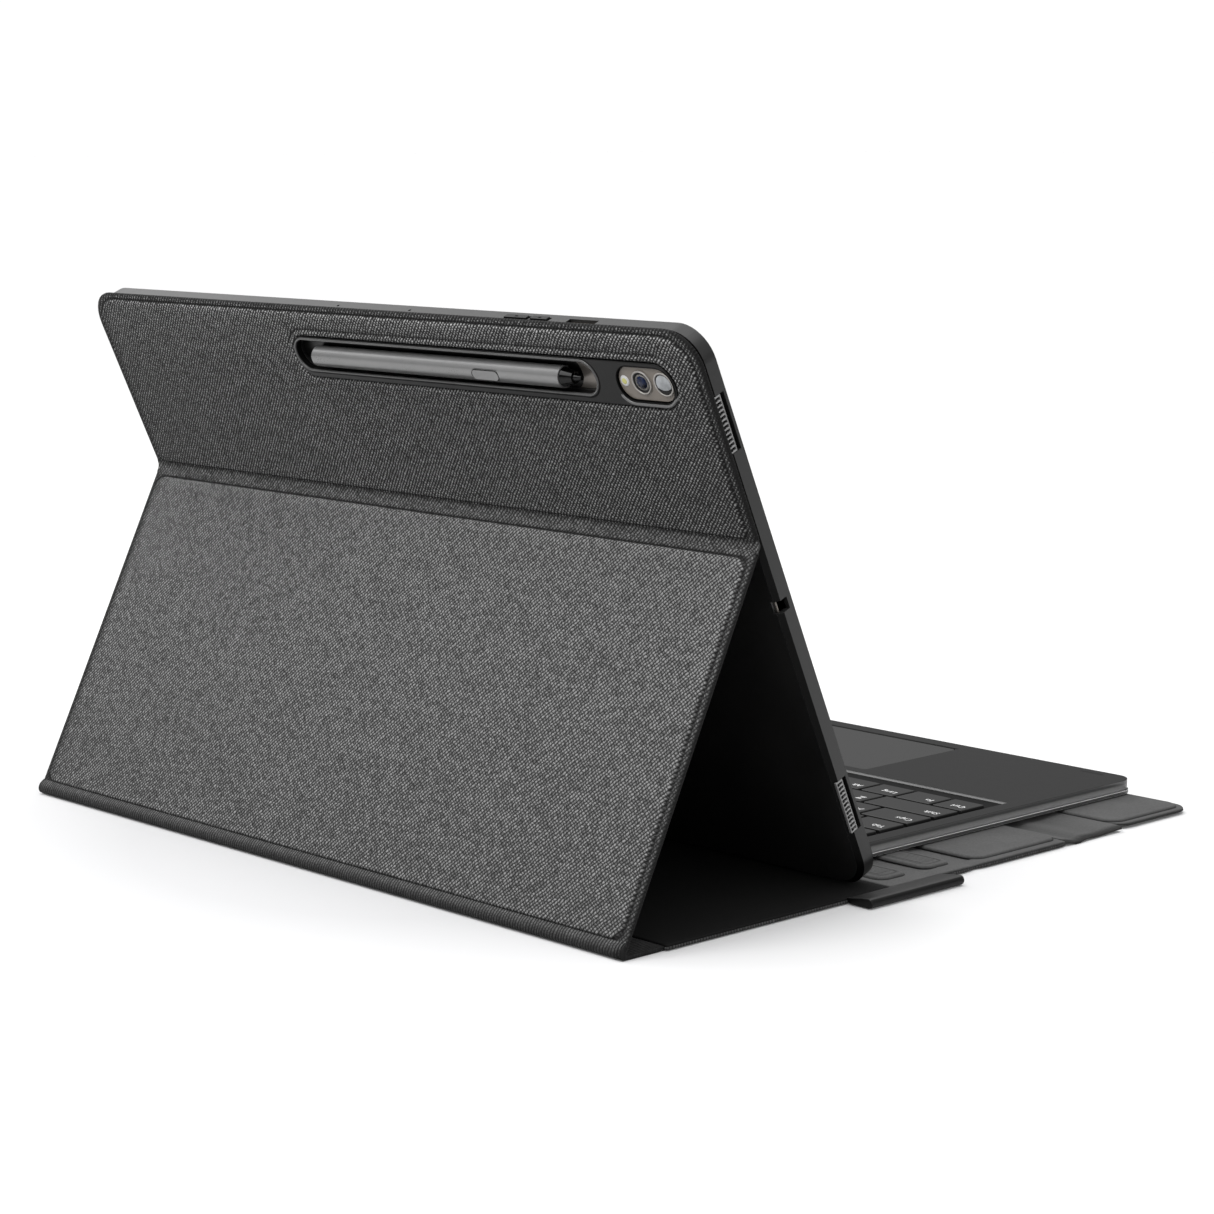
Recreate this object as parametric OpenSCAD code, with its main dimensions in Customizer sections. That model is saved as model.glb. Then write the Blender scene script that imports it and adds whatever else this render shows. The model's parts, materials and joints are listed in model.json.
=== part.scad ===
// Tablet keyboard case: a folding stand cover, a clip-in tray for a large tablet,
// and a keyboard that magnets hold on the front cover.
// Millimetres. The origin is the middle of the stand base's underside,
// +Z is up, the typist sits towards -Y, and the closure tab is on the -X side.

/* [Tablet] */
// Width of the tablet that the tray holds
tablet_w = 326.4; // [318:0.1:334]
// Height of the tablet
tablet_h = 208.6; // [205:0.1:212]
// Thickness of the tablet
tablet_t = 5.5; // [5.2:0.1:6]
// Corner radius of the tablet
tablet_r = 11; // [8:0.5:14]

/* [Tray] */
// Clearance between tablet and tray, each side
tray_gap = 0.15; // [0.1:0.05:0.3]
// Thickness of the tray's left and right walls
side_wall = 1.95; // [1.6:0.05:2.2]
// Thickness of the tray's top and bottom walls
end_wall = 1.15; // [1:0.05:1.4]
// Thickness of the tray's back plate
back_wall = 0.9; // [0.8:0.1:1.2]

/* [Cover] */
// Width of the folding cover
cover_w = 334; // [334:0.5:342]
// Thickness of the flap and of the upper cover
skin_t = 1.5; // [1.3:0.1:1.6]
// Height that padded panels stand proud of the cover
pad_t = 0.9; // [0.5:0.1:1.2]
// Corner radius of the upper cover
cover_r = 13; // [8:1:16]
// Thickness of the stand base and the front cover
base_t = 2.2; // [2:0.1:2.3]

/* [Stand] */
// Angle of the tray back from vertical
lean = 23.9; // [23:0.1:24.5]
// Height of the crease above the table
crease_height = 125.4; // [125:0.1:126]
// Distance of the crease in front of the back fold
crease_back = 61.3; // [60.5:0.1:62]
// Distance of the back fold behind the origin
fold_y = 75; // [70:1:80]
// Height of the upper cover above the crease
upper_h = 76.7; // [74:0.1:78]

/* [Front cover] */
// Width of the front cover
front_w = 336; // [336:1:344]
// Distance from the back fold to the front edge
front_reach = 301; // [300:1:306]

/* [Keyboard] */
// Width of the keyboard
kb_w = 280; // [276:1:300]
// Depth of the keyboard
kb_d = 172; // [171:0.5:173]
// Height of the keyboard's underside above the table
kb_z = 3.8; // [3.8:0.1:4.2]
// Thickness of the keyboard
kb_t = 5.3; // [5.2:0.1:5.6]
// Width of one key unit
key_unit = 17.4; // [17:0.1:17.6]
// Gap between neighbouring keys
key_gap = 1.7; // [1.4:0.1:2]
// Depth of one key row
row_pitch = 15; // [14.8:0.1:15.1]
// Travel of the keys

/* [Pen] */
// Length of the pen
pen_l = 141; // [139:0.5:144]
// Diameter of the pen
pen_d = 7.5; // [7.3:0.1:7.8]

/* [Hidden] */
$fn = 40;
play = 0.2;                       // gap around inset pieces
big = 1;                          // overshoot of cutting solids

// Stand geometry
flap_angle = atan2(crease_height, crease_back);
flap_l = norm([crease_back, crease_height]);
fold_r = skin_t / 2;              // roll of cloth around the back fold
fold_in = fold_r / tan(flap_angle / 2);
flap_end = -(flap_l - fold_in - 2);
crease_gap = 1.5;                 // bare hinge cloth on each side of the crease

// Tray, in its own frame: x, v up the back from the crease, w towards the screen
tray_half = tablet_w / 2 + tray_gap + side_wall;
tray_top = upper_h - 1.5;
tray_foot = tray_top - tablet_h - 2 * tray_gap - 2 * end_wall;
plate_w = skin_t + back_wall;     // front face of the back plate
lining_t = 0.2;
tablet_back = plate_w + lining_t + 0.02;
tablet_front = tablet_back + tablet_t;
tray_front = tablet_front + 0.08;
tablet_foot = tray_foot + end_wall + tray_gap;
tablet_top = tablet_foot + tablet_h;
foot_chamfer = 1.7;

// Openings in the back of the case
slot_x = [-116.7, 42];            // pen slot, left and right ends
slot_v = [51.9, 63.5];
window_x = [-152.3, -126.5];       // camera window
window_v = [50.6, 63.2];
bezel_x = [-153.1, 43.6];
bezel_v = [48.7, 64.8];
grille_v = [32, -113];            // lower ends of the speaker windows
grille_l = 20.5;
grille_slots = 11;
grille_pitch = 1.62;
edge_w = [3.1, 7];                // speaker windows in the tray's rim, towards the screen
top_w = [2.9, 6.1];               // key and card openings in the rim's top
volume_x = [-86.3, -74.1];
power_x = [-96.4, -87.1];
card_x = [-118.9, -105];
mic_x = [16, -24];
port_v = [-26.6, -22.2];

// Front cover zones, as distances in front of the back fold
spine_y = 19;
strip_y = [[129, 143], [152, 166]];
front_pad_y = [176, 222];
wave_y = [223, 254];
wave_low = 1.3;
layer_t = 0.6;                    // each outer layer of the base and front cover
closing_gap = 1.3;
roll_r = (base_t - layer_t) / 2;  // rolls of cloth around the front cover's folds
roll_z = base_t - roll_r;
tab_y = [104, 152];
tab_reach = 11;
tab_axis = -1;                    // its fold, beyond the cover's edge
tab_t = 0.9;
tab_rise = 3.6;
strip_half = 161;
pad_rise = 1;                     // rise of the strips and pads of the front cover

// Keyboard
kb_back = front_reach - kb_d;     // distance of its rear edge in front of the fold
kb_top_z = kb_z + kb_t;
lip_t = 1.3;                      // the base's lip around the upper casing
lip_out = 0.5;
kb_wall = 1.5;
key_area = 15 * key_unit;
key_front = 221.5 + key_gap / 2;  // front edge of the front key row
recess_front = 231.5;
recess_z = kb_top_z - 1.1;
web_z = recess_z - 0.9;
key_z = recess_z - 0.3;
key_top = kb_top_z + 0.2;
pad_half = 56.6;
pad_y = [236.6, 292];
function_d = 10.5;                // depth of the short function keys

// Widths of the keys in each row, in key units, from the front row to the rear row
ctrl_row = [0.9, 1.05, 1, 1.05, 5, 1, 1, 1, 1, 1, 1];
shift_row = [2.1, 1, 1, 1, 1, 1, 1, 1, 1, 1, 1, 1.9, 1];
caps_row = [1.4, 1, 1, 1, 1, 1, 1, 1, 1, 1, 1, 1, 2.6];
tab_row = [1.1, 1, 1, 1, 1, 1, 1, 1, 1, 1, 1, 1, 1, 1.9];
number_row = [0.8, 1, 1, 1, 1, 1, 1, 1, 1, 1, 1, 1, 1, 2.2];
function_row = [1, 1, 1, 1, 1, 1, 1, 1, 1, 1, 1, 1, 1, 1, 1];
key_rows = [ctrl_row, shift_row, caps_row, tab_row, number_row, function_row];
space_index = 4;

// Pen, lying on the tablet's back in the slot
pen_w = -0.05;                    // height of its axis
pen_v = 57;
pen_x = 32.2;                     // blunt end
pen_flat = tablet_back - 0.05;    // its flat side faces the tablet
tip_l = 8;
nib_l = 3.2;
pen_button_x = [-71.2, -57.4];

function sum_first(list, n) = n == 0 ? 0 : list[n - 1] + sum_first(list, n - 1);
function arc(c, r, a0, a1, n = 10) =
    [for (i = [0:n]) let (a = a0 + (a1 - a0) * i / n) [c[0] + r * cos(a), c[1] + r * sin(a)]];

// ---- frames and shared shapes ----

// The tray's frame: origin on the crease, y up the back, z towards the screen
module in_tray_frame() {
    translate([0, fold_y - crease_back, crease_height]) rotate([90 - lean, 0, 0]) children();
}

// The flap's frame: origin on the crease, y up the flap, z towards the inside of the stand
module in_flap_frame() {
    translate([0, fold_y - crease_back, crease_height]) rotate([180 - flap_angle, 0, 0])
        children();
}

// A box between two distances in front of the back fold
module zone(half, near, far, z0, z1) {
    translate([-half, fold_y - far, z0]) cube([2 * half, far - near, z1 - z0]);
}

module box(x, y, z) {
    translate([x[0], y[0], z[0]]) cube([x[1] - x[0], y[1] - y[0], z[1] - z[0]]);
}

// A flat rectangle with round corners
module rounded(x, y, r) {
    for (cx = [x[0] + r, x[1] - r]) for (cy = [y[0] + r, y[1] - r])
        translate([cx, cy]) circle(r);
    translate([x[0] + r, y[0]]) square([x[1] - x[0] - 2 * r, y[1] - y[0]]);
    translate([x[0], y[0] + r]) square([x[1] - x[0], y[1] - y[0] - 2 * r]);
}

module rounded_plate(x, y, z, r) {
    translate([0, 0, z[0]]) linear_extrude(z[1] - z[0]) rounded(x, y, r);
}

// A rounded plate whose lower corners are square
module arched_plate(x, y, z, r) {
    translate([0, 0, z[0]]) linear_extrude(z[1] - z[0]) {
        for (cx = [x[0] + r, x[1] - r]) translate([cx, y[1] - r]) circle(r);
        translate([x[0] + r, y[0]]) square([x[1] - x[0] - 2 * r, y[1] - y[0]]);
        translate([x[0], y[0]]) square([x[1] - x[0], y[1] - y[0] - r]);
    }
}

// A plate with half-round ends along X
module stadium(x, y, z) {
    r = (y[1] - y[0]) / 2;
    translate([0, 0, z[0]]) linear_extrude(z[1] - z[0]) {
        for (cx = [x[0] + r, x[1] - r]) translate([cx, y[0] + r]) circle(r);
        translate([x[0] + r, y[0]]) square([x[1] - x[0] - 2 * r, 2 * r]);
    }
}

module magnet_row(xs, y, size, z) {
    for (x = xs) box([x - size[0] / 2, x + size[0] / 2], [y - size[1] / 2, y + size[1] / 2], z);
}

// ---- stand base and front cover ----

foot_magnet_y = fold_y - 118;
strip_magnet_y = fold_y - 136;
magnet_x = [-125, -75, -25, 25, 75, 125];
magnet_size = [20, 6];

module base_magnet_rows(z) {
    magnet_row(magnet_x, foot_magnet_y, magnet_size, z);
    magnet_row(magnet_x, strip_magnet_y, magnet_size, z);
}

module base_cover() {
    color("#26282a") zone(front_w / 2, spine_y, wave_y[0], 0, layer_t);
}

module base_board_shape() {
    zone(front_w / 2 - 5, spine_y + 3, strip_y[1][1] + 3, layer_t, base_t - layer_t);
}

module base_board() {
    color("#8a8a84") difference() {
        base_board_shape();
        base_magnet_rows([0, base_t]);
    }
}

module front_board() {
    color("#8a8a84")
        zone(front_w / 2 - 5, front_pad_y[0], front_pad_y[1] - 1, layer_t, base_t - layer_t);
}

module base_lining() {
    color("#4a4c4e") difference() {
        zone(front_w / 2, spine_y, wave_y[0], layer_t, base_t);
        base_board_shape();
        zone(front_w / 2 - 5, front_pad_y[0], front_pad_y[1] - 1, 0, base_t - layer_t);
    }
}

module base_magnets() {
    color("#b0b2b5") base_magnet_rows([layer_t, base_t - layer_t]);
}

module stand_strips() {
    color("#4a4c4e") for (s = strip_y)
        rounded_plate([-strip_half, strip_half], [fold_y - s[1], fold_y - s[0]],
            [base_t, base_t + pad_rise], 4);
}

module front_pad() {
    color("#4a4c4e")
        rounded_plate([-strip_half - 3, strip_half + 3],
            [fold_y - front_pad_y[1], fold_y - front_pad_y[0]], [base_t, base_t + pad_rise], 4);
}

// The bent cloth spine, with its roll around the back fold
module spine_band() {
    color("#1c1d1f") {
        zone(cover_w / 2, fold_in, spine_y, 0, skin_t);
        translate([-cover_w / 2, fold_y - fold_in, fold_r]) rotate([0, 90, 0])
            cylinder(r = fold_r, h = cover_w);
    }
}

// Soft valley that lets the closing flap fold
module wave_hinge() {
    y0 = fold_y - wave_y[0];
    y1 = fold_y - wave_y[1];
    color("#35373a") translate([-front_w / 2, 0, 0]) rotate([90, 0, 90]) linear_extrude(front_w) {
        polygon([[y0, layer_t], [y0, base_t], [y0 - 8, wave_low], [y1 + 8, wave_low],
            [y1, base_t], [y1, layer_t], [y1 + 8, 0], [y0 - 8, 0]]);
        translate([y1, roll_z]) circle(roll_r);
    }
}

// ---- closing flap ----

closing_x = [-front_w / 2 + 2, front_w / 2 - 2];
closing_y = [fold_y - front_reach, fold_y - wave_y[1] - closing_gap];

module closing_cover() {
    color("#26282a") rounded_plate(closing_x, closing_y, [0, layer_t], 8);
}

module closing_core(z) {
    box([closing_x[0] + 5, closing_x[1] - 5], [closing_y[0] + 6, closing_y[1] - 3], z);
}

module closing_magnet_row(z) {
    magnet_row(magnet_x, (closing_y[0] + closing_y[1]) / 2, magnet_size, z);
}

module closing_board() {
    color("#8a8a84") difference() {
        closing_core([layer_t, base_t - layer_t]);
        closing_magnet_row([0, base_t]);
    }
}

module closing_magnets() {
    color("#b0b2b5") closing_magnet_row([layer_t, base_t - layer_t]);
}

module closing_lining() {
    color("#4a4c4e") difference() {
        rounded_plate(closing_x, closing_y, [layer_t, base_t], 8);
        closing_core([0, base_t - layer_t]);
    }
}

module closing_pad() {
    color("#4a4c4e")
        rounded_plate([closing_x[0] + 4, closing_x[1] - 4], [closing_y[0] + 4, closing_y[1] - 1],
            [base_t, base_t + pad_rise], 6);
}

// ---- closure tab ----

// The strap curls down and back under itself: this is its section
module tab_section() {
    r = tab_rise / 2;
    tip = [-tab_reach + r, r];
    translate([tab_axis, roll_z]) circle(roll_r);
    polygon(concat([[tab_axis, base_t]], arc(tip, r, 90, 270), [[-4, 0], [-4, tab_t]],
        arc(tip, r - tab_t, 270, 90), [[tab_axis, base_t - tab_t]]));
}

tab_magnet_x = [-front_w / 2 - 8.6, -front_w / 2 - 4.6];
tab_magnet_y = [fold_y - tab_y[1] + 8, fold_y - tab_y[0] - 8];
tab_magnet_z = [0.2, 0.7];

module closure_tab() {
    color("#26282a") difference() {
        translate([-front_w / 2, fold_y - tab_y[0], 0]) rotate([90, 0, 0])
            linear_extrude(tab_y[1] - tab_y[0]) tab_section();
        box(tab_magnet_x, tab_magnet_y, tab_magnet_z);
    }
}

module tab_magnet() {
    color("#b0b2b5") box(tab_magnet_x, tab_magnet_y, tab_magnet_z);
}

// ---- flap ----

flap_u = [flap_end, -crease_gap];
flap_core_u = [flap_end + 4, -6];
flap_core_w = [0.5, 1.1];
flap_magnet_u = (flap_end - crease_gap) / 2;

module flap_cover() {
    color("#45474a") in_flap_frame()
        box([-cover_w / 2, cover_w / 2], flap_u, [0, flap_core_w[0]]);
}

module flap_core(w) {
    box([-cover_w / 2 + 4, cover_w / 2 - 4], flap_core_u, w);
}

module flap_board() {
    color("#8a8a84") in_flap_frame() difference() {
        flap_core(flap_core_w);
        magnet_row(magnet_x, flap_magnet_u, magnet_size, [0, skin_t]);
    }
}

module flap_magnets() {
    color("#b0b2b5") in_flap_frame()
        magnet_row(magnet_x, flap_magnet_u, magnet_size, flap_core_w);
}

module flap_lining() {
    color("#151617") in_flap_frame() difference() {
        box([-cover_w / 2, cover_w / 2], flap_u, [flap_core_w[0], skin_t]);
        flap_core([0, flap_core_w[1]]);
    }
}

module flap_pad() {
    color("#45474a") in_flap_frame()
        rounded_plate([-cover_w / 2 + 3, cover_w / 2 - 3], [flap_end + 3, -3], [-pad_t, 0], 5);
}

// ---- upper cover ----

module crease_band() {
    color("#1c1d1f") in_tray_frame() {
        translate([-cover_w / 2, 0, 0]) rotate([0, 90, 0]) cylinder(r = 0.7, h = cover_w);
        box([-cover_w / 2, cover_w / 2], [0, crease_gap], [0, 0.7]);
    }
}

module bezel_opening(grow) {
    stadium([bezel_x[0] - grow, bezel_x[1] + grow], [bezel_v[0] - grow, bezel_v[1] + grow],
        [-big - pad_t, skin_t + big]);
}

module upper_core(w) {
    box([-cover_w / 2 + 10, cover_w / 2 - 10], [8, upper_h - 12], w);
}

module upper_cover() {
    color("#33353a") in_tray_frame() difference() {
        arched_plate([-cover_w / 2, cover_w / 2], [crease_gap, upper_h], [0, skin_t], cover_r);
        upper_core([0.6, skin_t + big]);
        bezel_opening(0.1);
    }
}

module upper_board() {
    color("#8a8a84") in_tray_frame() difference() {
        upper_core([0.6, skin_t]);
        bezel_opening(0.1);
    }
}

module upper_pad() {
    color("#33353a") in_tray_frame() difference() {
        arched_plate([-cover_w / 2 + 3.4, cover_w / 2 - 3.4], [2, upper_h - 2], [-pad_t, 0], 12);
        bezel_opening(0.1);
    }
}

module back_holes(w) {
    stadium(slot_x, slot_v, w);
    stadium(window_x, window_v, w);
}

module slot_bezel() {
    color("#1a1b1c") in_tray_frame() difference() {
        stadium(bezel_x, bezel_v, [-pad_t - 0.2, skin_t]);
        back_holes([-big - pad_t, skin_t + big]);
    }
}

// ---- tray ----

module tray_outline(inset, w) {
    rounded_plate([-tray_half + inset, tray_half - inset],
        [tray_foot + inset, tray_top - inset], w, tablet_r + 1 - inset / 2);
}

// Openings in the rim for the speakers, the keys, the card slot and the microphones
module rim_openings() {
    for (v = grille_v) box([-tray_half - big, tray_half + big], [v, v + grille_l], edge_w);
    for (x = [volume_x, power_x, card_x]) box(x, [tray_top - 3, tray_top + big], top_w);
    box([-tray_half - big, -tray_half + 3], port_v, [skin_t - 1, 6.2]);
    for (x = mic_x) translate([x, tray_top - 3, 5]) rotate([-90, 0, 0])
        cylinder(d = 1.2, h = 4, $fn = 24);
}

module tray_shell() {
    color("#1d1e1f") in_tray_frame() difference() {
        hull() {
            tray_outline(foot_chamfer, [skin_t, skin_t + 0.1]);
            tray_outline(0, [skin_t + foot_chamfer, tray_front]);
        }
        rounded_plate([-tray_half + side_wall, tray_half - side_wall],
            [tray_foot + end_wall, tray_top - end_wall], [plate_w, tray_front + big], tablet_r);
        back_holes([0, plate_w + big]);
        rim_openings();
    }
}

module tray_lining() {
    color("#101112") in_tray_frame() difference() {
        rounded_plate([-tablet_w / 2 + 2, tablet_w / 2 - 2], [tablet_foot + 2, tablet_top - 2],
            [plate_w, plate_w + lining_t], tablet_r);
        back_holes([0, plate_w + big]);
    }
}

// A key cover of the tray's top rim; it bears on the tablet's key below
module key_cover(x) {
    in_tray_frame() {
        box([x[0] + 0.9, x[1] - 0.3], [tray_top - end_wall + 0.5, tray_top + 0.5],
            [top_w[0] + 1.1, top_w[1] - 0.2]);
        box([(x[0] + x[1] - 0.6) / 2, (x[0] + x[1] + 1.8) / 2],
            [tray_top + 0.5, tray_top + 0.75], [top_w[0] + 1.9, top_w[1] - 0.9]);
    }
}

module volume_cover() { color("#2a2b2d") key_cover(volume_x); }
module power_cover() { color("#2a2b2d") key_cover(power_x); }

// ---- tablet ----

module tablet_outline(w) {
    rounded_plate([-tablet_w / 2, tablet_w / 2], [tablet_foot, tablet_top], w, tablet_r);
}

grille_w = [3.5, 6.6];

module grille_pockets(side, depth) {
    for (v = grille_v) box([side * tablet_w / 2 - depth, side * tablet_w / 2 + depth],
        [v + 1, v + grille_l - 1], grille_w);
}

tablet_wall = 3;
tablet_floor = 0.8;

module tablet_housing() {
    color("#3a3b3d") in_tray_frame() difference() {
        tablet_outline([tablet_back, tablet_front - 0.7]);
        rounded_plate([-tablet_w / 2 + tablet_wall, tablet_w / 2 - tablet_wall],
            [tablet_foot + tablet_wall, tablet_top - tablet_wall],
            [tablet_back + tablet_floor, tablet_front], tablet_r - 3);
        for (side = [-1, 1]) grille_pockets(side, 1);
    }
}

module tablet_battery() {
    color("#9fa3a6") in_tray_frame() for (x = [[-120, -2], [2, 120]])
        rounded_plate(x, [tablet_foot + 18, tablet_top - 36],
            [tablet_back + tablet_floor, tablet_front - 0.9], 3);
}

module tablet_screen() {
    color("#08090a") in_tray_frame() tablet_outline([tablet_front - 0.7, tablet_front]);
}

module speaker_grilles() {
    slot_w = 0.85;
    color("#77797c") in_tray_frame() for (side = [-1, 1]) for (v = grille_v) difference() {
        box([min(side * (tablet_w / 2 - 1), side * tablet_w / 2),
            max(side * (tablet_w / 2 - 1), side * tablet_w / 2)], [v + 1, v + grille_l - 1],
            grille_w);
        for (i = [0:grille_slots - 1])
            translate([side * tablet_w / 2, v + grille_l / 2 + (i - 5) * grille_pitch, 5.05])
                cube([4, slot_w, 2.2], center = true);
    }
}

lens_x = [-137.5, -147.6];
ring_r = [3.7, 4.3];              // inner and outer radius of the lens rings
lens_v = 57.4;
flash_x = -129.4;
plate_top = -0.3;

module camera_plate() {
    color("#5b5350") in_tray_frame() difference() {
        stadium([window_x[0] + 0.3, window_x[1] - 0.3], [window_v[0] + 0.3, window_v[1] - 0.3],
            [plate_top, tablet_back]);
        for (x = lens_x) translate([x, lens_v, plate_top - big])
            cylinder(r = ring_r[0], h = tablet_back - plate_top + 2 * big);
        translate([flash_x, lens_v, plate_top - big]) cylinder(r = 2, h = big + 0.6);
    }
}

module camera_rings() {
    color("#c9c9c7") in_tray_frame() for (x = lens_x) translate([x, lens_v, plate_top - 0.6])
        difference() {
            cylinder(r = ring_r[1], h = 0.6);
            translate([0, 0, -big]) cylinder(r = ring_r[0], h = 0.6 + 2 * big);
        }
}

module camera_lenses() {
    color("#10141c") in_tray_frame() for (x = lens_x) translate([x, lens_v, plate_top - 0.4])
        cylinder(r = ring_r[0], h = tablet_back - plate_top + 0.4);
}

module flash_lens() {
    color("#f4f2e2") in_tray_frame() translate([flash_x, lens_v, plate_top])
        cylinder(r = 2, h = 0.6);
}

// ---- pen ----

// Along -X from its blunt end, with a flat towards the tablet
module along_pen(x0) {
    in_tray_frame() translate([pen_x - x0, pen_v, pen_w]) rotate([0, -90, 0]) children();
}

module pen_flat_cut() {
    in_tray_frame() box([pen_x - pen_l - big, pen_x + big], [pen_v - pen_d, pen_v + pen_d],
        [pen_flat, pen_flat + pen_d]);
}

module pen_button_pocket(grow, w) {
    in_tray_frame() stadium([pen_button_x[0] - grow, pen_button_x[1] + grow],
        [pen_v - 2 - grow, pen_v + 2 + grow], w);
}

button_sill = pen_w - pen_d / 2 + 1.2;

module pen_barrel() {
    color("#4b4c4e") difference() {
        union() {
            along_pen(1.5) cylinder(d = pen_d, h = pen_l - tip_l - 1.5);
            along_pen(0) cylinder(d1 = pen_d - 2, d2 = pen_d, h = 1.5);
        }
        pen_flat_cut();
        pen_button_pocket(0.1, [pen_w - pen_d, button_sill]);
    }
}

module pen_tip() {
    color("#101011") difference() {
        union() {
            along_pen(pen_l - tip_l) cylinder(d1 = pen_d - 0.9, d2 = 4.2, h = tip_l - nib_l);
            along_pen(pen_l - nib_l) cylinder(d1 = 2.8, d2 = 1.6, h = nib_l);
        }
        pen_flat_cut();
    }
}

module pen_button() {
    color("#555658") pen_button_pocket(0, [pen_w - pen_d / 2, button_sill - 0.4]);
}

// ---- keyboard ----

kb_half = kb_w / 2;
kb_y = [fold_y - front_reach, fold_y - kb_back];
case_x = [-kb_half + lip_out, kb_half - lip_out];
case_y = [kb_y[0] + lip_out, kb_y[1] - lip_out];
floor_z = kb_z + 0.8;
well_x = [-kb_half + 7, kb_half - 7];
well_y = [fold_y - recess_front, fold_y - kb_back - 2];
key_y = fold_y - key_front;
trackpad_y = [fold_y - pad_y[1], fold_y - pad_y[0]];

// One box per key of a row: the row counts from the front
module keys(row, skip, grow, z) {
    widths = key_rows[row];
    depth = row == 5 ? function_d : row_pitch - key_gap;
    for (i = [0:len(widths) - 1]) if (i != skip) {
        x = -key_area / 2 + key_unit * sum_first(widths, i) + key_gap / 2;
        y = key_y + row * row_pitch + key_gap / 2;
        box([x - grow, x + key_unit * widths[i] - key_gap + grow], [y - grow, y + depth + grow],
            z);
    }
}

module keycaps(row, skip = -1) {
    color("#202124") keys(row, skip, 0, [key_z, key_top]);
}

module keyboard_base() {
    color("#252628") difference() {
        rounded_plate([-kb_half, kb_half], kb_y, [kb_z, kb_z + lip_t], 8);
        rounded_plate([case_x[0] + kb_wall, case_x[1] - kb_wall],
            [case_y[0] + kb_wall, case_y[1] - kb_wall], [floor_z, kb_top_z], 6);
        side_openings();
    }
}

module keyboard_top() {
    color("#3a3b3d") difference() {
        rounded_plate(case_x, case_y, [kb_z + lip_t, kb_top_z], 7.5);
        rounded_plate([case_x[0] + kb_wall, case_x[1] - kb_wall],
            [case_y[0] + kb_wall, case_y[1] - kb_wall], [kb_z, web_z], 6);
        box(well_x, well_y, [recess_z, kb_top_z + big]);
        for (row = [0:5]) keys(row, -1, 0.35, [kb_z, kb_top_z]);
        rounded_plate([-pad_half - play, pad_half + play],
            [trackpad_y[0] - play, trackpad_y[1] + play], [kb_z, kb_top_z + big], 2);
        indicator_shape(0.05, [kb_z, kb_top_z + big]);
        side_openings();
    }
}

module indicator_shape(grow, z) {
    stadium([-127.5 - grow, -122.5 + grow], [fold_y - 296.6 - grow, fold_y - 295.4 + grow], z);
}

module indicator_lens() {
    color("#d8dcd8") indicator_shape(0, [web_z, kb_top_z]);
}

// The charge port and the switch are in the right side wall
port_y = [fold_y - 154, fold_y - 144.8];
switch_y = [fold_y - 174, fold_y - 166];
side_z = [kb_z + 1, kb_z + 3.8];
port_l = 8.7;                     // depth of the port's pocket

module side_openings() {
    box([case_x[1] - port_l, kb_half + big], port_y, side_z);
    box([case_x[1] - kb_wall - big, kb_half + big], switch_y, [side_z[0] + 0.4, side_z[1] - 0.4]);
}

module charge_port() {
    wall = 0.35;
    color("#9a9c9f") difference() {
        box([case_x[1] - port_l + 0.2, case_x[1] - 0.2], [port_y[0] + 0.1, port_y[1] - 0.1],
            [side_z[0] + 0.05, side_z[1] - 0.05]);
        box([case_x[1] - port_l + 1.2, kb_half + big], [port_y[0] + 0.1 + wall, port_y[1] - 0.1 - wall],
            [side_z[0] + 0.05 + wall, side_z[1] - 0.05 - wall]);
    }
}

module power_switch() {
    color("#56585b") box([case_x[1] - kb_wall - 0.8, kb_half + 0.3],
        [switch_y[0] + 0.2, switch_y[0] + 4.6], [side_z[0] + 0.6, side_z[1] - 0.6]);
}

module keyboard_battery() {
    color("#9fa3a6") for (x = [[-120, -6], [6, 120]])
        rounded_plate(x, [fold_y - 290, fold_y - 246], [floor_z, floor_z + 1.7], 2);
}

module circuit_board() {
    color("#1f5a3a") box([case_x[1] - 46, case_x[1] - port_l], [fold_y - 226, fold_y - 140],
        [floor_z, floor_z + 0.4]);
}

module switch_sheet() {
    color("#b9bcc0") {
        box([-key_area / 2, key_area / 2 - 1], [key_y, key_y + 6 * row_pitch - 4],
            [floor_z + 0.45, floor_z + 0.9]);
        for (row = [0:5]) for (i = [0:len(key_rows[row]) - 1])
            translate([-key_area / 2 + key_unit * (sum_first(key_rows[row], i)
                + key_rows[row][i] / 2), key_y + (row + 0.5) * row_pitch - (row == 5 ? 1.4 : 0),
                floor_z + 0.9]) cylinder(d = 4, h = 0.5, $fn = 8);
    }
}

module keyboard_magnets() {
    color("#b0b2b5") for (y = [fold_y - 136, fold_y - 296])
        magnet_row([-100, -50, 50, 100], y, [20, 3.4], [floor_z, floor_z + 0.4]);
}

module keyboard_feet() {
    color("#151515") for (x = [-110, 110]) for (y = [fold_y - 136, fold_y - 292])
        rounded_plate([x - 14, x + 14], [y - 3, y + 3], [kb_z - 0.5, kb_z], 2.5);
}

module touchpad() {
    color("#17181a")
        rounded_plate([-pad_half, pad_half], trackpad_y, [kb_top_z - 0.9, kb_top_z - 0.1], 2);
}

module touchpad_board() {
    color("#1f5a3a") box([-pad_half + 2, pad_half - 2], [trackpad_y[0] + 2, trackpad_y[1] - 2],
        [kb_top_z - 1.6, kb_top_z - 0.9]);
}

module ctrl_keys() { keycaps(0, space_index); }
module shift_keys() { keycaps(1); }
module caps_keys() { keycaps(2); }
module tab_keys() { keycaps(3); }
module number_keys() { keycaps(4); }
module function_keys() { keycaps(5); }

module space_bar() {
    x = -key_area / 2 + key_unit * sum_first(ctrl_row, space_index) + key_gap / 2;
    y = key_y + key_gap / 2;
    color("#202124") box([x, x + key_unit * ctrl_row[space_index] - key_gap],
        [y, y + row_pitch - key_gap], [key_z, key_top]);
}

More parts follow.
